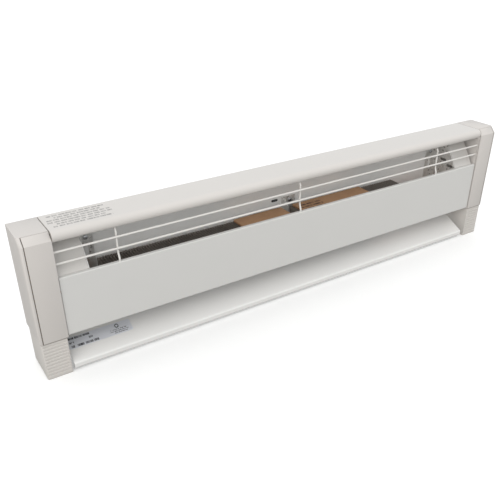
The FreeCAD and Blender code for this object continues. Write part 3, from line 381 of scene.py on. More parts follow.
# %% Use of the groups
def mottle(tree, shader, color, roughness, scale=20.0, tone=0.03, spread=0.05, grain=900.0,
           bump=0.05, depth=0.0002):
    """Feeds colour, roughness and a fine bump from the mottle group; returns the group node."""
    node = place_group(tree, MOTTLE, Color=color, Scale=scale, Tone=tone, Roughness=roughness,
                       Roughness_Spread=spread, Grain_Scale=grain)
    link(tree, node.outputs["Color"], shader.inputs["Base Color"])
    link(tree, node.outputs["Roughness"], shader.inputs["Roughness"])
    relief = add_node(tree, "ShaderNodeBump", Strength=bump, Distance=depth)
    link(tree, node.outputs["Height"], relief.inputs["Height"])
    link(tree, relief.outputs["Normal"], shader.inputs["Normal"])
    return node


def place_split(tree):
    """The surface point's own X, Y and Z as three sockets."""
    split = add_node(tree, "ShaderNodeSeparateXYZ")
    link(tree, object_coordinates(tree), split.inputs[0])
    return split.outputs["X"], split.outputs["Y"], split.outputs["Z"]


print("mottle ready")

# %% [markdown]
# ## White enamel
#
# The housing is thin steel with a baked white enamel. It is smooth but not a mirror: a slight
# orange-peel ripple a millimetre or two across breaks up the reflections, and the tone wanders
# by a percent or so. A thin coat layer over the colour gives the soft, wide shine of paint,
# which a single roughness can't. The back panel's enamel is a whiter, glossier copy of the same
# white, painted light that brightens the shaded inside. It mirrors the fins and the cards faintly.

# %% Enamel
def enamel(name, color, roughness=0.34, coat=0.3):
    material, tree, shader = new_material(name, color, roughness, Coat_Weight=coat,
                                          Coat_Roughness=0.12)
    node = mottle(tree, shader, color, roughness, scale=6.0, tone=0.012, spread=0.04, grain=620.0,
                  bump=0.10, depth=0.0003)
    return material, tree, shader, node


ENAMEL_COLOR = (0.70, 0.692, 0.675)
housing_white = enamel("housing_enamel", ENAMEL_COLOR)[0]
finish_nodes(("front_panel",), housing_white)
baffle_white = enamel("baffle_enamel", (0.62, 0.60, 0.575), 0.4)[0]
finish_nodes(("left_baffle", "right_baffle"), baffle_white)
# painted light: the back panel's enamel is whiter than the housing's, to brighten the shaded inside
back_lit_white = enamel("back_lit_enamel", (0.87, 0.862, 0.845), 0.22, 1.0)[0]
finish_nodes(("back_panel",), back_lit_white)
guard_white = enamel("guard_enamel", (0.80, 0.78, 0.75), 0.38)[0]
finish_nodes(("guard_rods", "guard_struts"), guard_white)
print("enamel on the sheets and the guard")

# %% [markdown]
# ## Top cover with its printed notice
#
# The top cover has the same enamel, with a block of small grey printing at its left end. Real
# words would need real text, and they couldn't be read at this size anyway, so the block is six
# centred rows from the print group. A mask on the surface height keeps the ink off the underside.
# The cover's cut ends get a painted shadow over the last millimetre, where they meet the caps.

# %% Top cover
NOTICE_LEFT = 0.003          # from the cover's left end
NOTICE_LENGTH = 0.098
NOTICE_BACK = 0.004          # from the cover's back edge
NOTICE_ROWS = 6
NOTICE_PITCH = 0.0074
INK_GREY = (0.30, 0.285, 0.275)
COVER_COLOR = (0.70, 0.668, 0.638)
EDGE_SHADE = 0.9 * MM        # painted shadow along the cut ends


def printed_cover():
    low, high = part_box("top_cover")
    material, tree, shader, node = enamel("cover_enamel", COVER_COLOR)
    x, y, z = place_split(tree)
    centre = low[0] + NOTICE_LEFT + NOTICE_LENGTH / 2
    back = high[1] - NOTICE_BACK
    front = back - NOTICE_ROWS * NOTICE_PITCH
    rows = add_node(tree, "ShaderNodeGroup", node_tree=PRINT_ROWS)
    shifted = add_node(tree, "ShaderNodeCombineXYZ")
    link(tree, math_node(tree, "SUBTRACT", x, centre), shifted.inputs["X"])
    link(tree, math_node(tree, "SUBTRACT", y, front), shifted.inputs["Y"])
    link(tree, shifted.outputs[0], rows.inputs["Vector"])
    rows.inputs["Row Pitch"].default_value = NOTICE_PITCH
    rows.inputs["Row Fill"].default_value = 0.56
    rows.inputs["Letter"].default_value = 0.0013
    rows.inputs["Word"].default_value = 0.0095
    row = math_node(tree, "FLOOR", math_node(tree, "DIVIDE",
                                             math_node(tree, "SUBTRACT", y, front), NOTICE_PITCH))
    length_noise = add_node(tree, "ShaderNodeTexWhiteNoise", noise_dimensions="1D")
    link(tree, row, length_noise.inputs["W"])
    half = math_node(tree, "ADD", math_node(tree, "MULTIPLY", length_noise.outputs["Value"],
                                            NOTICE_LENGTH * 0.16), NOTICE_LENGTH * 0.34)
    off_centre = math_node(tree, "ABSOLUTE", math_node(tree, "SUBTRACT", x, centre))
    in_line = math_node(tree, "LESS_THAN", off_centre, half)
    on_top = math_node(tree, "GREATER_THAN", z, high[2] - 0.3 * MM)
    ink = product(tree, rows.outputs["Mask"], in_line, between(tree, y, front, back), on_top)
    printed = mixed(tree, ink, node.outputs["Color"], INK_GREY)
    # painted shadow: the last 0.9 mm at each cut end is darkened where it meets a cap
    painted_end_shadow = math_node(tree, "GREATER_THAN", math_node(tree, "ABSOLUTE", x), high[0] - EDGE_SHADE)
    link(tree, mixed(tree, painted_end_shadow, printed, (0.30, 0.265, 0.235)), shader.inputs["Base Color"])
    return material


finish_nodes(("top_cover",), printed_cover())
print("printed rows:", NOTICE_ROWS)

# %% [markdown]
# ## Moulded plastic
#
# The end caps, snap-off covers and feet are moulded in a warm white plastic. It is duller than
# the enamel beside it, with an even fine spark-eroded texture and no coat. Where two mouldings
# meet, the narrow gap between them lies in shade. The gap alone is too fine to read from
# across a room, so that shade is painted into the plastic over the millimetre beside it: at the
# outer edge and the crease of each access cover, and at the top and the outer corner of each foot.

# %% Moulded plastic
def moulded_plastic(name, color, roughness=0.46, grain=2600.0, bump=0.14):
    material, tree, shader = new_material(name, color, roughness)
    mottle(tree, shader, color, roughness, scale=9.0, tone=0.015, spread=0.05, grain=grain,
           bump=bump, depth=0.00015)
    return material


# painted shade for the seams between mouldings, and the widths it is painted over
SEAM_SHADE_TONE = (0.17, 0.14, 0.12)
COVER_EDGE_SHADE = 463.7 * MM
CREASE_SHADE = 0.4 * MM
FOOT_TOP_SHADE = (61.3 * MM, 63.2 * MM)
FOOT_CORNER_SHADE = (0.7 * MM, 0.8 * MM)


def with_painted_seam_shade(material, find_shade):
    """Paints seam shade into a plastic where the mask function, called with (tree, side, y, z),
    gives one; side is the X distance.
    """
    tree = material.node_tree
    shader = tree.nodes["Principled BSDF"]
    plain = shader.inputs["Base Color"].links[0].from_socket
    x, y, z = place_split(tree)
    lines = find_shade(tree, math_node(tree, "ABSOLUTE", x), y, z)
    link(tree, mixed(tree, lines, plain, SEAM_SHADE_TONE), shader.inputs["Base Color"])
    return material


# painted shade at the cover's outer edge, and fainter along its top crease
def cover_seam_shade(tree, side, y, z):
    outer = math_node(tree, "GREATER_THAN", side, COVER_EDGE_SHADE)
    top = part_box("left_access_cover")[1].z
    crease = math_node(tree, "GREATER_THAN", z, top - CREASE_SHADE)
    return math_node(tree, "MAXIMUM", outer, product(tree, crease, 0.45))


# painted shade along the foot's top under the cover, and down its outer front corner
def foot_seam_shade(tree, side, y, z):
    low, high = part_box("right_foot")
    top = product(tree, between(tree, z, *FOOT_TOP_SHADE), 0.6)
    corner = product(tree, math_node(tree, "GREATER_THAN", side, high.x - FOOT_CORNER_SHADE[0]),
                     math_node(tree, "LESS_THAN", y, low.y + FOOT_CORNER_SHADE[1]))
    return math_node(tree, "MAXIMUM", top, corner)


CAP_COLOR = (0.675, 0.640, 0.612)
FOOT_COLOR = (0.655, 0.625, 0.592)
cap_white = moulded_plastic("cap_plastic", CAP_COLOR)
cover_white = with_painted_seam_shade(moulded_plastic("cover_plastic", CAP_COLOR), cover_seam_shade)
foot_white = with_painted_seam_shade(moulded_plastic("foot_plastic", FOOT_COLOR, 0.5),
                                foot_seam_shade)
print("plastics:", cap_white.name, cover_white.name, foot_white.name)

# %% [markdown]
# ## Bare and coated metals
#
# Inside, little is painted. The brackets and bulkheads are galvanised: zinc freezes into
# *spangle*, flat crystals a few millimetres across that each catch the light differently, which
# a Voronoi pattern gives directly. The fins are aluminium with a dark coat, streaked by rolling.
# The tube is copper, dulled in clouds, and the fittings are turned brass.

# %% Galvanised steel
def galvanised():
    material, tree, shader = new_material("galvanised_steel", (0.7, 0.7, 0.68), 0.4, 0.55)
    crystals = add_node(tree, "ShaderNodeTexVoronoi", Scale=260.0)
    link(tree, object_coordinates(tree), crystals.inputs["Vector"])
    grey = add_node(tree, "ShaderNodeSeparateColor")
    link(tree, crystals.outputs["Color"], grey.inputs[0])
    flake = grey.outputs[0]
    link(tree, mixed(tree, flake, (0.66, 0.65, 0.625), (0.80, 0.79, 0.77)),
         shader.inputs["Base Color"])
    rough = math_node(tree, "ADD", math_node(tree, "MULTIPLY", flake, 0.16), 0.26)
    link(tree, rough, shader.inputs["Roughness"])
    return material


zinc_spangle = galvanised()
finish_nodes(("left_element_bracket", "centre_element_bracket", "right_element_bracket",
              "left_wiring_bulkhead", "right_wiring_bulkhead", "knockout_slug"), zinc_spangle)
print("galvanised:", zinc_spangle.name)

# %% Streaked metals
def streaked_metal(name, color, dark, roughness, metallic=1.0, clouds=30.0, fineness=700.0):
    """A metal whose colour drifts towards a darker tone in clouds and along fine streaks."""
    material, tree, shader = new_material(name, color, roughness, metallic)
    streaks = place_group(tree, BRUSHED, Fineness=fineness).outputs["Streaks"]
    cloud = add_node(tree, "ShaderNodeTexNoise", Scale=clouds, Detail=5.0)
    link(tree, object_coordinates(tree), cloud.inputs["Vector"])
    both = product(tree, streaks, cloud.outputs["Fac"])
    amount = math_node(tree, "MULTIPLY", both, 2.6, clamp=True)
    link(tree, mixed(tree, amount, color, dark), shader.inputs["Base Color"])
    spread = math_node(tree, "MULTIPLY", math_node(tree, "SUBTRACT", streaks, 0.5), 0.3)
    link(tree, math_node(tree, "ADD", spread, roughness), shader.inputs["Roughness"])
    relief = add_node(tree, "ShaderNodeBump", Strength=0.1, Distance=0.0001)
    link(tree, streaks, relief.inputs["Height"])
    link(tree, relief.outputs["Normal"], shader.inputs["Normal"])
    return material


fin_dark = streaked_metal("fin_dark_coat", (0.40, 0.36, 0.325), (0.23, 0.205, 0.185), 0.5, 0.3)
copper = streaked_metal("dulled_copper", (0.80, 0.43, 0.29), (0.42, 0.19, 0.11), 0.32)
brass = streaked_metal("turned_brass", (0.80, 0.61, 0.30), (0.55, 0.38, 0.16), 0.28)
sheath = streaked_metal("rod_sheath_steel", (0.52, 0.50, 0.47), (0.28, 0.25, 0.22), 0.38)
finish_nodes(("left_fin_pack", "right_fin_pack"), fin_dark)
finish_nodes(("fluid_tube", "limit_capillary"), copper)
finish_nodes(("left_end_fitting", "right_end_fitting", "switch_terminals", "terminal_pins"), brass)
finish_nodes(("heating_rod",), sheath)
print("metals:", [m.name for m in (fin_dark, copper, brass, sheath)])

# %% [markdown]
# ## Small inner parts
#
# The wiring space holds a few parts in their own plastics: nylon glides that carry the tube, a
# rubber grommet, a dark phenolic switch body, a glazed ceramic insulator and silicone leads. Each
# is a moulded plastic with its own colour, gloss and grain, so one function makes them all.

# %% Small inner parts
nylon = moulded_plastic("natural_nylon", (0.80, 0.78, 0.70), 0.42, 1800.0, 0.10)
rubber = moulded_plastic("dark_rubber", (0.06, 0.06, 0.062), 0.7, 1500.0, 0.3)
phenolic = moulded_plastic("brown_phenolic", (0.055, 0.034, 0.026), 0.4, 2200.0, 0.12)
ceramic = moulded_plastic("glazed_ceramic", (0.83, 0.80, 0.74), 0.18, 1200.0, 0.08)
silicone = moulded_plastic("lead_silicone", (0.55, 0.06, 0.045), 0.48, 2400.0, 0.12)
nut_orange = moulded_plastic("nut_plastic", (0.78, 0.21, 0.03), 0.36, 2000.0, 0.10)
finish_nodes(("left_tube_glide", "centre_tube_glide", "right_tube_glide", "capillary_bushings"),
             nylon)
finish_nodes(("lead_grommet", "slot_plug"), rubber)
finish_nodes(("limit_switch",), phenolic)
finish_nodes(("terminal_insulator",), ceramic)
finish_nodes(("element_leads",), silicone)
finish_nodes(("wire_nuts",), nut_orange)
print("small parts finished")

# %% [markdown]
# ## Silver label
#
# A foil label lies on the sloped pan. Its ink is only rows of bars: two heavy rows and a short one
# on the left, and an empty ring over three fine rows on the right. Brushed silver under it keeps
# the foil from looking like grey paper.

# %% Label
LABEL_BARS = ((0.03, 0.36, 0.76, 0.93, 0.0018), (0.03, 0.10, 0.42, 0.56, 0.0016),
              (0.33, 0.39, 0.46, 0.62, 0.0016), (0.04, 0.46, 0.07, 0.26, 0.0019),
              (0.66, 0.92, 0.40, 0.46, 0.0009), (0.64, 0.94, 0.26, 0.32, 0.0009),
              (0.70, 0.92, 0.12, 0.18, 0.0009))
RING_RADII = (1.9 * MM, 3.3 * MM)
LABEL_INK = (0.045, 0.045, 0.05)


def silver_label():
    low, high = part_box("rating_label")
    length = high[0] - low[0]
    width = high[1] - low[1]
    material, tree, shader = new_material("silver_label", (0.75, 0.77, 0.82), 0.36, 0.15)
    streaks = place_group(tree, BRUSHED, Fineness=900.0).outputs["Streaks"]
    foil = mixed(tree, streaks, (0.70, 0.72, 0.78), (0.84, 0.86, 0.90))
    x, y, z = place_split(tree)
    along = math_node(tree, "DIVIDE", math_node(tree, "SUBTRACT", x, low[0]), length)
    across = math_node(tree, "DIVIDE", math_node(tree, "SUBTRACT", y, low[1]), width)
    bars = []
    for x0, x1, y0, y1, letter in LABEL_BARS:
        rows = place_group(tree, PRINT_ROWS, Row_Pitch=1.0, Row_Fill=1.0, Letter=letter,
                           Word=letter * 7, Seed=y0 * 40)
        bars.append(product(tree, rows.outputs["Mask"], between(tree, along, x0, x1),
                            between(tree, across, y0, y1)))
    from_ring = add_node(tree, "ShaderNodeVectorMath", operation="DISTANCE")
    spot = add_node(tree, "ShaderNodeCombineXYZ")
    link(tree, x, spot.inputs["X"])
    link(tree, y, spot.inputs["Y"])
    link(tree, spot.outputs[0], from_ring.inputs[0])
    from_ring.inputs[1].default_value = (low[0] + 0.78 * length, low[1] + 0.72 * width, 0)
    bars.append(between(tree, from_ring.outputs["Value"], *RING_RADII))
    ink = bars[0]
    for bar in bars[1:]:
        ink = math_node(tree, "MAXIMUM", ink, bar)
    link(tree, mixed(tree, ink, foil, LABEL_INK), shader.inputs["Base Color"])
    shine = math_node(tree, "SUBTRACT", 0.15, product(tree, ink, 0.12))
    link(tree, shine, shader.inputs["Metallic"])
    relief = add_node(tree, "ShaderNodeBump", Strength=0.06, Distance=0.0001)
    link(tree, streaks, relief.inputs["Height"])
    link(tree, relief.outputs["Normal"], shader.inputs["Normal"])
    return material


finish_nodes(("rating_label",), silver_label())
print("label finished")

# %% [markdown]
# ## Kraft board and screw plating
#
# Corrugated board is pulp: long pale and dark fibres lie in its colour and stand up as fuzz, and a
# few rows of packing print run across one card. The screws have two platings, bright zinc for
# fixing and green for grounding, and both are streaked metals with their own colours. The same
# step gives the caps, covers and feet their plastic.

# %% Kraft board
def kraft_board():
    """Brown board: long fibres in the colour, fine fuzz in the bump, and a few printed rows."""
    color = (0.47, 0.275, 0.155)
    material, tree, shader = new_material("kraft_board", color, 0.85)
    node = mottle(tree, shader, color, 0.85, scale=40.0, tone=0.05, spread=0.03, grain=1500.0,
                  bump=0.35, depth=0.0003)
    fibres = place_group(tree, BRUSHED, Fineness=1100.0, Stretch=0.12).outputs["Streaks"]
    speck = math_node(tree, "MULTIPLY", math_node(tree, "SUBTRACT", fibres, 0.5), 1.4, clamp=True)
    fibrous = mixed(tree, speck, node.outputs["Color"], (0.30, 0.16, 0.08))
    low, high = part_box("right_packing_card")
    x, y, z = place_split(tree)
    rows = place_group(tree, PRINT_ROWS, Row_Pitch=0.009, Row_Fill=0.6, Letter=0.0028, Word=0.018)
    printed = product(tree, rows.outputs["Mask"], between(tree, x, low[0] + 0.006, low[0] + 0.052),
                      between(tree, y, low[1] + 0.004, high[1] - 0.006))
    link(tree, mixed(tree, printed, fibrous, (0.11, 0.07, 0.05)), shader.inputs["Base Color"])
    return material


board = kraft_board()
finish_nodes(("left_packing_card", "right_packing_card"), board)
print("board:", board.name)

# %% Screw plating
zinc_plate = streaked_metal("bright_zinc", (0.66, 0.67, 0.69), (0.42, 0.43, 0.45), 0.3)
green_zinc = streaked_metal("green_ground_screw", (0.06, 0.30, 0.13), (0.03, 0.17, 0.07), 0.35)
finish_nodes(("bracket_screws", "foot_screws", "cap_screws", "bulkhead_screws"), zinc_plate)
finish_nodes(("ground_screws",), green_zinc)
finish_nodes(("left_end_cap", "right_end_cap"), cap_white)
finish_nodes(("left_access_cover", "right_access_cover"), cover_white)
finish_nodes(("left_foot", "right_foot"), foot_white)
print("platings:", zinc_plate.name, green_zinc.name)

# %% [markdown]
# ## Modelling helpers
#
# New pieces are modelled with the same operators as by hand. An operator acts on all that is
# selected, so each piece starts from an empty selection, and faces are then picked in code by
# their place or their normal. A finished piece has its transforms applied, rides on the body that
# carries it, takes its own material and hides the CAD node that it stands for.

# %% Modelling helpers
def begin():
    """Leaves edit mode and deselects everything."""
    if bpy.context.object and bpy.context.object.mode != "OBJECT":
        bpy.ops.object.mode_set(mode="OBJECT")
    bpy.ops.object.select_all(action="DESELECT")


def select_only(piece):
    begin()
    piece.select_set(True)
    bpy.context.view_layer.objects.active = piece


def pick(piece, test, kind="FACE"):
    """Goes to edit mode with only the faces or vertices selected that pass the test."""
    bpy.context.view_layer.objects.active = piece
    bpy.ops.object.mode_set(mode="EDIT")
    bpy.ops.mesh.select_mode(type=kind)
    bpy.ops.mesh.select_all(action="DESELECT")
    mesh = bmesh.from_edit_mesh(piece.data)
    for element in (mesh.faces if kind == "FACE" else mesh.verts):
        element.select_set(test(element))
    mesh.select_flush_mode()
    bmesh.update_edit_mesh(piece.data)


def apply_modifier(piece, kind, **values):
    select_only(piece)
    modifier = piece.modifiers.new(kind.lower(), kind)
    for name, value in values.items():
        setattr(modifier, name, value)
    bpy.ops.object.modifier_apply(modifier=modifier.name)


def joined(pieces):
    """Joins pieces into the first one, with transforms applied."""
    begin()
    for piece in pieces:
        piece.select_set(True)
    bpy.context.view_layer.objects.active = pieces[0]
    if len(pieces) > 1:
        bpy.ops.object.join()
    bpy.ops.object.transform_apply(location=True, rotation=True, scale=True)
    return pieces[0]


def finished(piece, name, body, slot, material, *nodes, smooth=35):
    """Smooths, names and finishes a piece, ties it to its body and hides its CAD nodes; slot is not
    used.
    """
    select_only(piece)
    bpy.ops.object.transform_apply(location=True, rotation=True, scale=True)
    bpy.ops.object.shade_smooth_by_angle(angle=math.radians(smooth))
    piece.name = name
    piece.data.name = name
    piece.data.materials.clear()
    piece.data.materials.append(material)
    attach(piece, body)
    if nodes:
        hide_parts(*nodes)
    print(f"{name}: {len(piece.data.polygons)} faces on {body}")
    return piece


def copy_at(piece, place, turn=(0, 0, 0), spin=0.0):
    """A copy with its own mesh, spun round its own Z, then turned and moved."""
    twin = piece.copy()
    twin.data = piece.data.copy()
    bpy.context.scene.collection.objects.link(twin)
    twin.matrix_world = (Matrix.Translation(place) @ Euler(turn).to_matrix().to_4x4()
                         @ Matrix.Rotation(spin, 4, "Z"))
    return twin


def copies_of(piece, places):
    """Copies at (place, turn, spin) of one model, joined. The model itself is then removed."""
    copies = [copy_at(piece, *where) for where in places]
    bpy.data.objects.remove(piece)
    return joined(copies)


def solid_boxes(name, reach):
    """The box of each separate solid in a CAD node whose solids are over reach apart."""
    boxes = []
    for vertex in sorted((v.co for v in NODES[name].data.vertices), key=lambda c: (c.x, c.z, c.y)):
        for low, high in boxes:
            if all(low[i] - reach < vertex[i] < high[i] + reach for i in range(3)):
                for i in range(3):
                    low[i] = min(low[i], vertex[i])
                    high[i] = max(high[i], vertex[i])
                break
        else:
            boxes.append((list(vertex), list(vertex)))
    return boxes


print("modelling helpers ready")

# %% [markdown]
# ## Softened mouldings
#
# CAD edges are perfectly sharp, but a moulding or a casting never is: its edges are rounded by a
# few tenths of a millimetre, and that thin highlight is much of what makes a part look real. A
# Bevel modifier needs clean, merged faces, so each moulding is a copy of its CAD node with the
# triangles merged first. The copy stands for the node, in the same place and size, save that the
# outer edge of each access cover is eased out, so that no light passes beside it.

# %% Softened copies
def merged_copy(node):
    copy = bpy.data.objects.new(node + "_soft", NODES[node].data.copy())
    bpy.context.scene.collection.objects.link(copy)
    pick(copy, lambda face: True)
    bpy.ops.mesh.remove_doubles(threshold=2e-6)
    bpy.ops.mesh.dissolve_limited(angle_limit=math.radians(1.5))
    begin()
    return copy


def softened(node, body, slot, material, width, segments=2, change=None):
    copy = merged_copy(node)
    if change:
        change(copy)
    apply_modifier(copy, "BEVEL", width=width, segments=segments, limit_method="ANGLE",
                   angle_limit=math.radians(38), use_clamp_overlap=True)
    return finished(copy, node + "_moulding", body, slot, material, node)


COVER_EDGE = (463.8 * MM, 464.2 * MM)
COVER_FACE = -30.0 * MM
EASE = 0.5 * MM


def close_up(copy):
    """Moves the outer edge of an access cover out, to leave a hairline gap."""
    inner, outer = COVER_EDGE
    pick(copy, lambda v: inner < abs(v.co.x) < outer and v.co.y < COVER_FACE, "VERT")
    outwards = EASE if "right" in copy.name else -EASE
    bpy.ops.transform.translate(value=(outwards, 0, 0))
    begin()


for side in ("left", "right"):
    softened(side + "_end_cap", "housing", "cap_plastic", cap_white, 0.35 * MM)
    softened(side + "_access_cover", side + "_cover", "cap_plastic", cover_white, 0.3 * MM,
             change=close_up)
    softened(side + "_foot", "housing", "foot_plastic", foot_white, 0.3 * MM)
softened("limit_switch", "housing", "switch_plastic", phenolic, 0.5 * MM, 3)
softened("lead_grommet", "housing", "grommet_rubber", rubber, 0.45 * MM, 3)
softened("terminal_insulator", "element", "insulator_ceramic", ceramic, 0.3 * MM, 3)
for side in ("left", "right"):
    softened(side + "_end_fitting", "element", "brass_fitting", brass, 0.5 * MM, 3)
for place in ("left", "centre", "right"):
    softened(place + "_tube_glide", "housing", "nylon", nylon, 0.4 * MM)

# %% [markdown]
# ## Packing cards
#
# Two strips of corrugated board lie on the fins, left from packing. Board is two flat liners with
# a wavy sheet between them, and the waves show along its cut edges, so a textured slab wouldn't
# do. One flute is a grid whose rows are lifted into a wave. An Array modifier repeats it along
# the card, Solidify gives it the paper's thickness, and the liners are two thin grids above and
# below, slightly cockled by a Displace modifier.

# %% Corrugated cards
FLUTE_PITCH = 6.4 * MM
PAPER = 0.3 * MM
FLUTE_STEPS = 8


def flute_row(low, high, count, height):
    """The wavy middle sheet: one flute, lifted row by row, then repeated."""
    pitch = (high[0] - low[0]) / count
    begin()
    middle = (low[2] + high[2]) / 2
    bpy.ops.mesh.primitive_grid_add(x_subdivisions=FLUTE_STEPS, y_subdivisions=1, size=1,
                                    location=(low[0] + pitch / 2, (low[1] + high[1]) / 2, middle))
    row = bpy.context.object
    row.scale = (pitch, high[1] - low[1], 1)
    bpy.ops.object.transform_apply(location=True, rotation=True, scale=True)
    for step in range(FLUTE_STEPS + 1):
        x = low[0] + pitch * step / FLUTE_STEPS
        pick(row, lambda v: abs(v.co.x - x) < pitch / FLUTE_STEPS / 4, "VERT")
        lift = height / 2 * math.cos(math.tau * step / FLUTE_STEPS)
        bpy.ops.transform.translate(value=(0, 0, lift))
    begin()
    apply_modifier(row, "ARRAY", count=count, use_merge_vertices=True, merge_threshold=1e-5)
    apply_modifier(row, "SOLIDIFY", thickness=PAPER, offset=0.0)
    return row


def liner(low, high, z, cockle):
    """One flat outer sheet, with a very slight cockle."""
    begin()
    bpy.ops.mesh.primitive_grid_add(x_subdivisions=40, y_subdivisions=12, size=1,
                                    location=((low[0] + high[0]) / 2, (low[1] + high[1]) / 2, z))
    sheet = bpy.context.object
    sheet.scale = (high[0] - low[0], high[1] - low[1], 1)
    bpy.ops.object.transform_apply(location=True, rotation=True, scale=True)
    apply_modifier(sheet, "DISPLACE", texture=cockle, strength=0.5 * MM, texture_coords="LOCAL",
                   direction="Z")
    apply_modifier(sheet, "SOLIDIFY", thickness=PAPER, offset=0.0)
    return sheet


cockle = bpy.data.textures.new("cockle", "CLOUDS")
cockle.noise_scale = 0.03
for side in ("left", "right"):
    low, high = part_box(side + "_packing_card")
    count = round((high[0] - low[0]) / FLUTE_PITCH)
    height = high[2] - low[2] - 3 * PAPER
    sheets = [flute_row(low, high, count, height), liner(low, high, low[2] + PAPER / 2, cockle),
              liner(low, high, high[2] - PAPER / 2, cockle)]
    finished(joined(sheets), side + "_card", "element", "card_board", board,
             side + "_packing_card", smooth=50)

# %% [markdown]
# ## Screws
#
# Every screw in the heater is the same pan-head type with a cross recess. It is modelled once for
# each group of screws, because the groups have their own shank lengths. A cylinder's top is inset
# and its rim lowered for the crown, its underside is inset and extruded for the shank, a Bevel
# rounds the rim, and a Boolean cuts the recess. Copies then go where the CAD model has its plain
# screws, each turned a little differently, because nobody lines up screw slots.

# %% One screw
HEAD_RADIUS = 3.6 * MM
HEAD_HEIGHT = 2.2 * MM
SHANK_RADIUS = 1.9 * MM


def recess_bar(turn):
    begin()
    bpy.ops.mesh.primitive_cube_add(size=1, location=(0, 0, HEAD_HEIGHT))
    bar = bpy.context.object
    bar.scale = (3.4 * MM, 0.75 * MM, 2.2 * MM)
    bar.rotation_euler = (0, 0, turn)
    bpy.ops.object.transform_apply(location=True, rotation=True, scale=True)
    pick(bar, lambda face: face.normal.z < -0.9)
    bpy.ops.transform.resize(value=(0.5, 0.5, 1))
    begin()
    return bar


def model_screw(shank):
    """A pan-head screw along Z: its seat is at zero, its head above and its shank below."""
    begin()
    bpy.ops.mesh.primitive_cylinder_add(vertices=28, radius=HEAD_RADIUS, depth=HEAD_HEIGHT,
                                        location=(0, 0, HEAD_HEIGHT / 2))
    screw = bpy.context.object
    bpy.ops.object.transform_apply(location=True, rotation=True, scale=True)
    pick(screw, lambda face: face.normal.z > 0.9)
    bpy.ops.mesh.inset(thickness=HEAD_RADIUS * 0.3)
    pick(screw, lambda face: face.normal.z < -0.9)
    bpy.ops.mesh.inset(thickness=HEAD_RADIUS - SHANK_RADIUS)
    bpy.ops.mesh.extrude_region_move(TRANSFORM_OT_translate={"value": (0, 0, -shank)})
    pick(screw, lambda v: v.co.z > HEAD_HEIGHT * 0.9 and v.co.xy.length > HEAD_RADIUS * 0.9, "VERT")
    bpy.ops.transform.translate(value=(0, 0, -HEAD_HEIGHT * 0.25))
    begin()
    apply_modifier(screw, "BEVEL", width=0.35 * MM, segments=3, limit_method="ANGLE",
                   angle_limit=math.radians(40))
    for turn in (0, math.pi / 2):
        bar = recess_bar(turn)
        apply_modifier(screw, "BOOLEAN", operation="DIFFERENCE", solver="EXACT", object=bar)
        bpy.data.objects.remove(bar)
    return screw


def screw_set(node, slot, material, seat, turn):
    """Copies of one screw at each solid of a CAD node; seat gives each place and shank."""
    seats = [seat(low, high) for low, high in solid_boxes(node, 4 * MM)]
    shank = max(length for place, length in seats)
    places = [(place, turn(place), 0.7 * index) for index, (place, length) in enumerate(seats)]
    piece = copies_of(model_screw(shank), places)
    print(f"{node}: {len(seats)} screws, shank {shank / MM:.1f} mm")
    return finished(piece, node + "_detailed", "housing", slot, material, node)


def seat_in_back(low, high):
    """The seat of a screw whose head faces the room."""
    y = low[1] + HEAD_HEIGHT
    return ((low[0] + high[0]) / 2, y, (low[2] + high[2]) / 2), high[1] - y


def seat_in_bulkhead(low, high):
    """The seat of a ground screw, whose head faces its own end of the heater."""
    outer = high[0] if high[0] > 0 else low[0]
    inner = low[0] if high[0] > 0 else high[0]
    x = outer - math.copysign(HEAD_HEIGHT, outer)
    return (x, (low[1] + high[1]) / 2, (low[2] + high[2]) / 2), abs(x - inner)


for node in ("bracket_screws", "foot_screws", "cap_screws", "bulkhead_screws"):
    screw_set(node, "zinc_screw", zinc_plate, seat_in_back, lambda place: (math.pi / 2, 0, 0))
screw_set("ground_screws", "ground_green", green_zinc, seat_in_bulkhead,
          lambda place: (0, math.copysign(math.pi / 2, place[0]), 0))

# %% [markdown]
# ## Twist-on nuts
#
# The two leads end in twist-on nuts: tapered plastic caps with grip ribs and an open mouth. A
# cylinder is tapered by scaling its tip, every other side face is pushed out for
# the ribs, the mouth is inset and sunk, and a Bevel softens it all. One nut is modelled and
# copied.

# %% Twist-on nuts
NUT_RIBS = 14
NUT_TAPER = 0.68
RIB_HEIGHT = 0.35 * MM


def model_nut(low, high):
    """A nut in its CAD box, with its mouth up."""
    radius = (high[0] - low[0]) / 2
    length = high[2] - low[2]
    tip = low[2]
    centre = ((low[0] + high[0]) / 2, (low[1] + high[1]) / 2, (low[2] + high[2]) / 2)
    begin()
    bpy.ops.mesh.primitive_cylinder_add(vertices=NUT_RIBS * 2, radius=radius * 0.88, depth=length,
                                        location=centre)
    nut = bpy.context.object
    bpy.ops.object.transform_apply(location=True, rotation=True, scale=True)
    pick(nut, lambda v: v.co.z < tip + length * 0.1, "VERT")
    bpy.ops.transform.resize(value=(NUT_TAPER, NUT_TAPER, 1),
                             center_override=(centre[0], centre[1], tip))
    angle = math.tau / NUT_RIBS

    def on_rib(face):
        middle = face.calc_center_median()
        around = math.atan2(middle.y - centre[1], middle.x - centre[0]) % angle
        return abs(face.normal.z) < 0.5 and around < angle / 2

    pick(nut, on_rib)
    bpy.ops.mesh.inset(thickness=0.12 * MM, use_individual=True)
    bpy.ops.mesh.extrude_region_shrink_fatten(TRANSFORM_OT_shrink_fatten={"value": RIB_HEIGHT})
    pick(nut, lambda face: face.normal.z > 0.9 and face.calc_center_median().z > high[2] - 0.1 * MM)
    bpy.ops.mesh.inset(thickness=0.9 * MM)
    bpy.ops.mesh.extrude_region_move(TRANSFORM_OT_translate={"value": (0, 0, -length * 0.6)})
    begin()
    apply_modifier(nut, "BEVEL", width=0.25 * MM, segments=2, limit_method="ANGLE",
                   angle_limit=math.radians(45))
    return nut


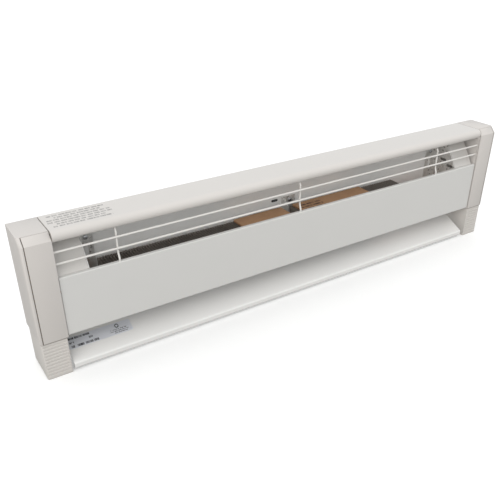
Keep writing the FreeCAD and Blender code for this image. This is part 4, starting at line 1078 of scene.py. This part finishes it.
boxes = solid_boxes("wire_nuts", 3 * MM)
shifts = [Vector(low) - Vector(boxes[0][0]) for low, high in boxes]
nuts = copies_of(model_nut(*boxes[0]), [(shift,) for shift in shifts])
finished(nuts, "twist_on_nuts", "element", "nut_plastic", nut_orange, "wire_nuts")

# %% [markdown]
# ## Weld beads and solder
#
# The struts are spot-welded to the rods, and the fittings are soldered into the tube. A weld
# leaves a small flattened nugget where two wires cross, and solder leaves a thin wavy ring. Both
# start as primitives, are pressed out of their perfect shape by scaling and a Displace modifier,
# and are copied to each place.

# %% Weld beads
BEAD_RADIUS = 1.0 * MM
LUMP_SIZE = 0.0022


def guard_crossings():
    """Where each strut crosses each rod, on the struts' front."""
    low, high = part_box("guard_rods")
    rod = (high[1] - low[1]) / 2
    rods = [low[2] + rod, high[2] - rod]
    struts = [(a[0] + b[0]) / 2 for a, b in solid_boxes("guard_struts", 20 * MM)]
    return [(x, high[1] - 0.1 * MM, z) for x in struts for z in rods]


def model_bead(lumps):
    begin()
    bpy.ops.mesh.primitive_uv_sphere_add(segments=20, ring_count=12, radius=BEAD_RADIUS,
                                         location=(0, 0, 0))
    bead = bpy.context.object
    pick(bead, lambda v: abs(v.co.z) < 0.4 * MM, "VERT")
    bpy.ops.transform.resize(value=(1.9, 1.0, 1.0))
    begin()
    bead.scale = (1.25, 0.75, 1.5)
    bpy.ops.object.transform_apply(location=True, rotation=True, scale=True)
    apply_modifier(bead, "DISPLACE", texture=lumps, strength=0.35 * MM, texture_coords="LOCAL")
    return bead


lumps = bpy.data.textures.new("weld_lumps", "CLOUDS")
lumps.noise_scale = LUMP_SIZE
places = [(place, (0, math.pi * (index % 2), 0)) for index, place in enumerate(guard_crossings())]
beads = copies_of(model_bead(lumps), places)
finished(beads, "guard_weld_beads", "housing", "guard_paint", guard_white, smooth=60)

# %% Solder rings
SOLDER_THICKNESS = 0.75 * MM
solder = streaked_metal("soft_solder", (0.70, 0.69, 0.67), (0.45, 0.44, 0.43), 0.3)


def model_ring(radius, lumps):
    begin()
    bpy.ops.mesh.primitive_torus_add(location=(0, 0, 0), rotation=(0, math.pi / 2, 0),
                                     major_radius=radius, minor_radius=SOLDER_THICKNESS,
                                     major_segments=64, minor_segments=12)
    ring = bpy.context.object
    bpy.ops.object.transform_apply(location=True, rotation=True, scale=True)
    apply_modifier(ring, "DISPLACE", texture=lumps, strength=0.5 * MM, texture_coords="LOCAL")
    return ring


low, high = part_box("fluid_tube")
axis = ((low[1] + high[1]) / 2, (low[2] + high[2]) / 2)
tube_radius = (high[1] - low[1]) / 2
rings = copies_of(model_ring(tube_radius, lumps), [((x, *axis),) for x in (low[0], high[0])])
finished(rings, "tube_solder_rings", "element", "brass_fitting", solder, smooth=60)
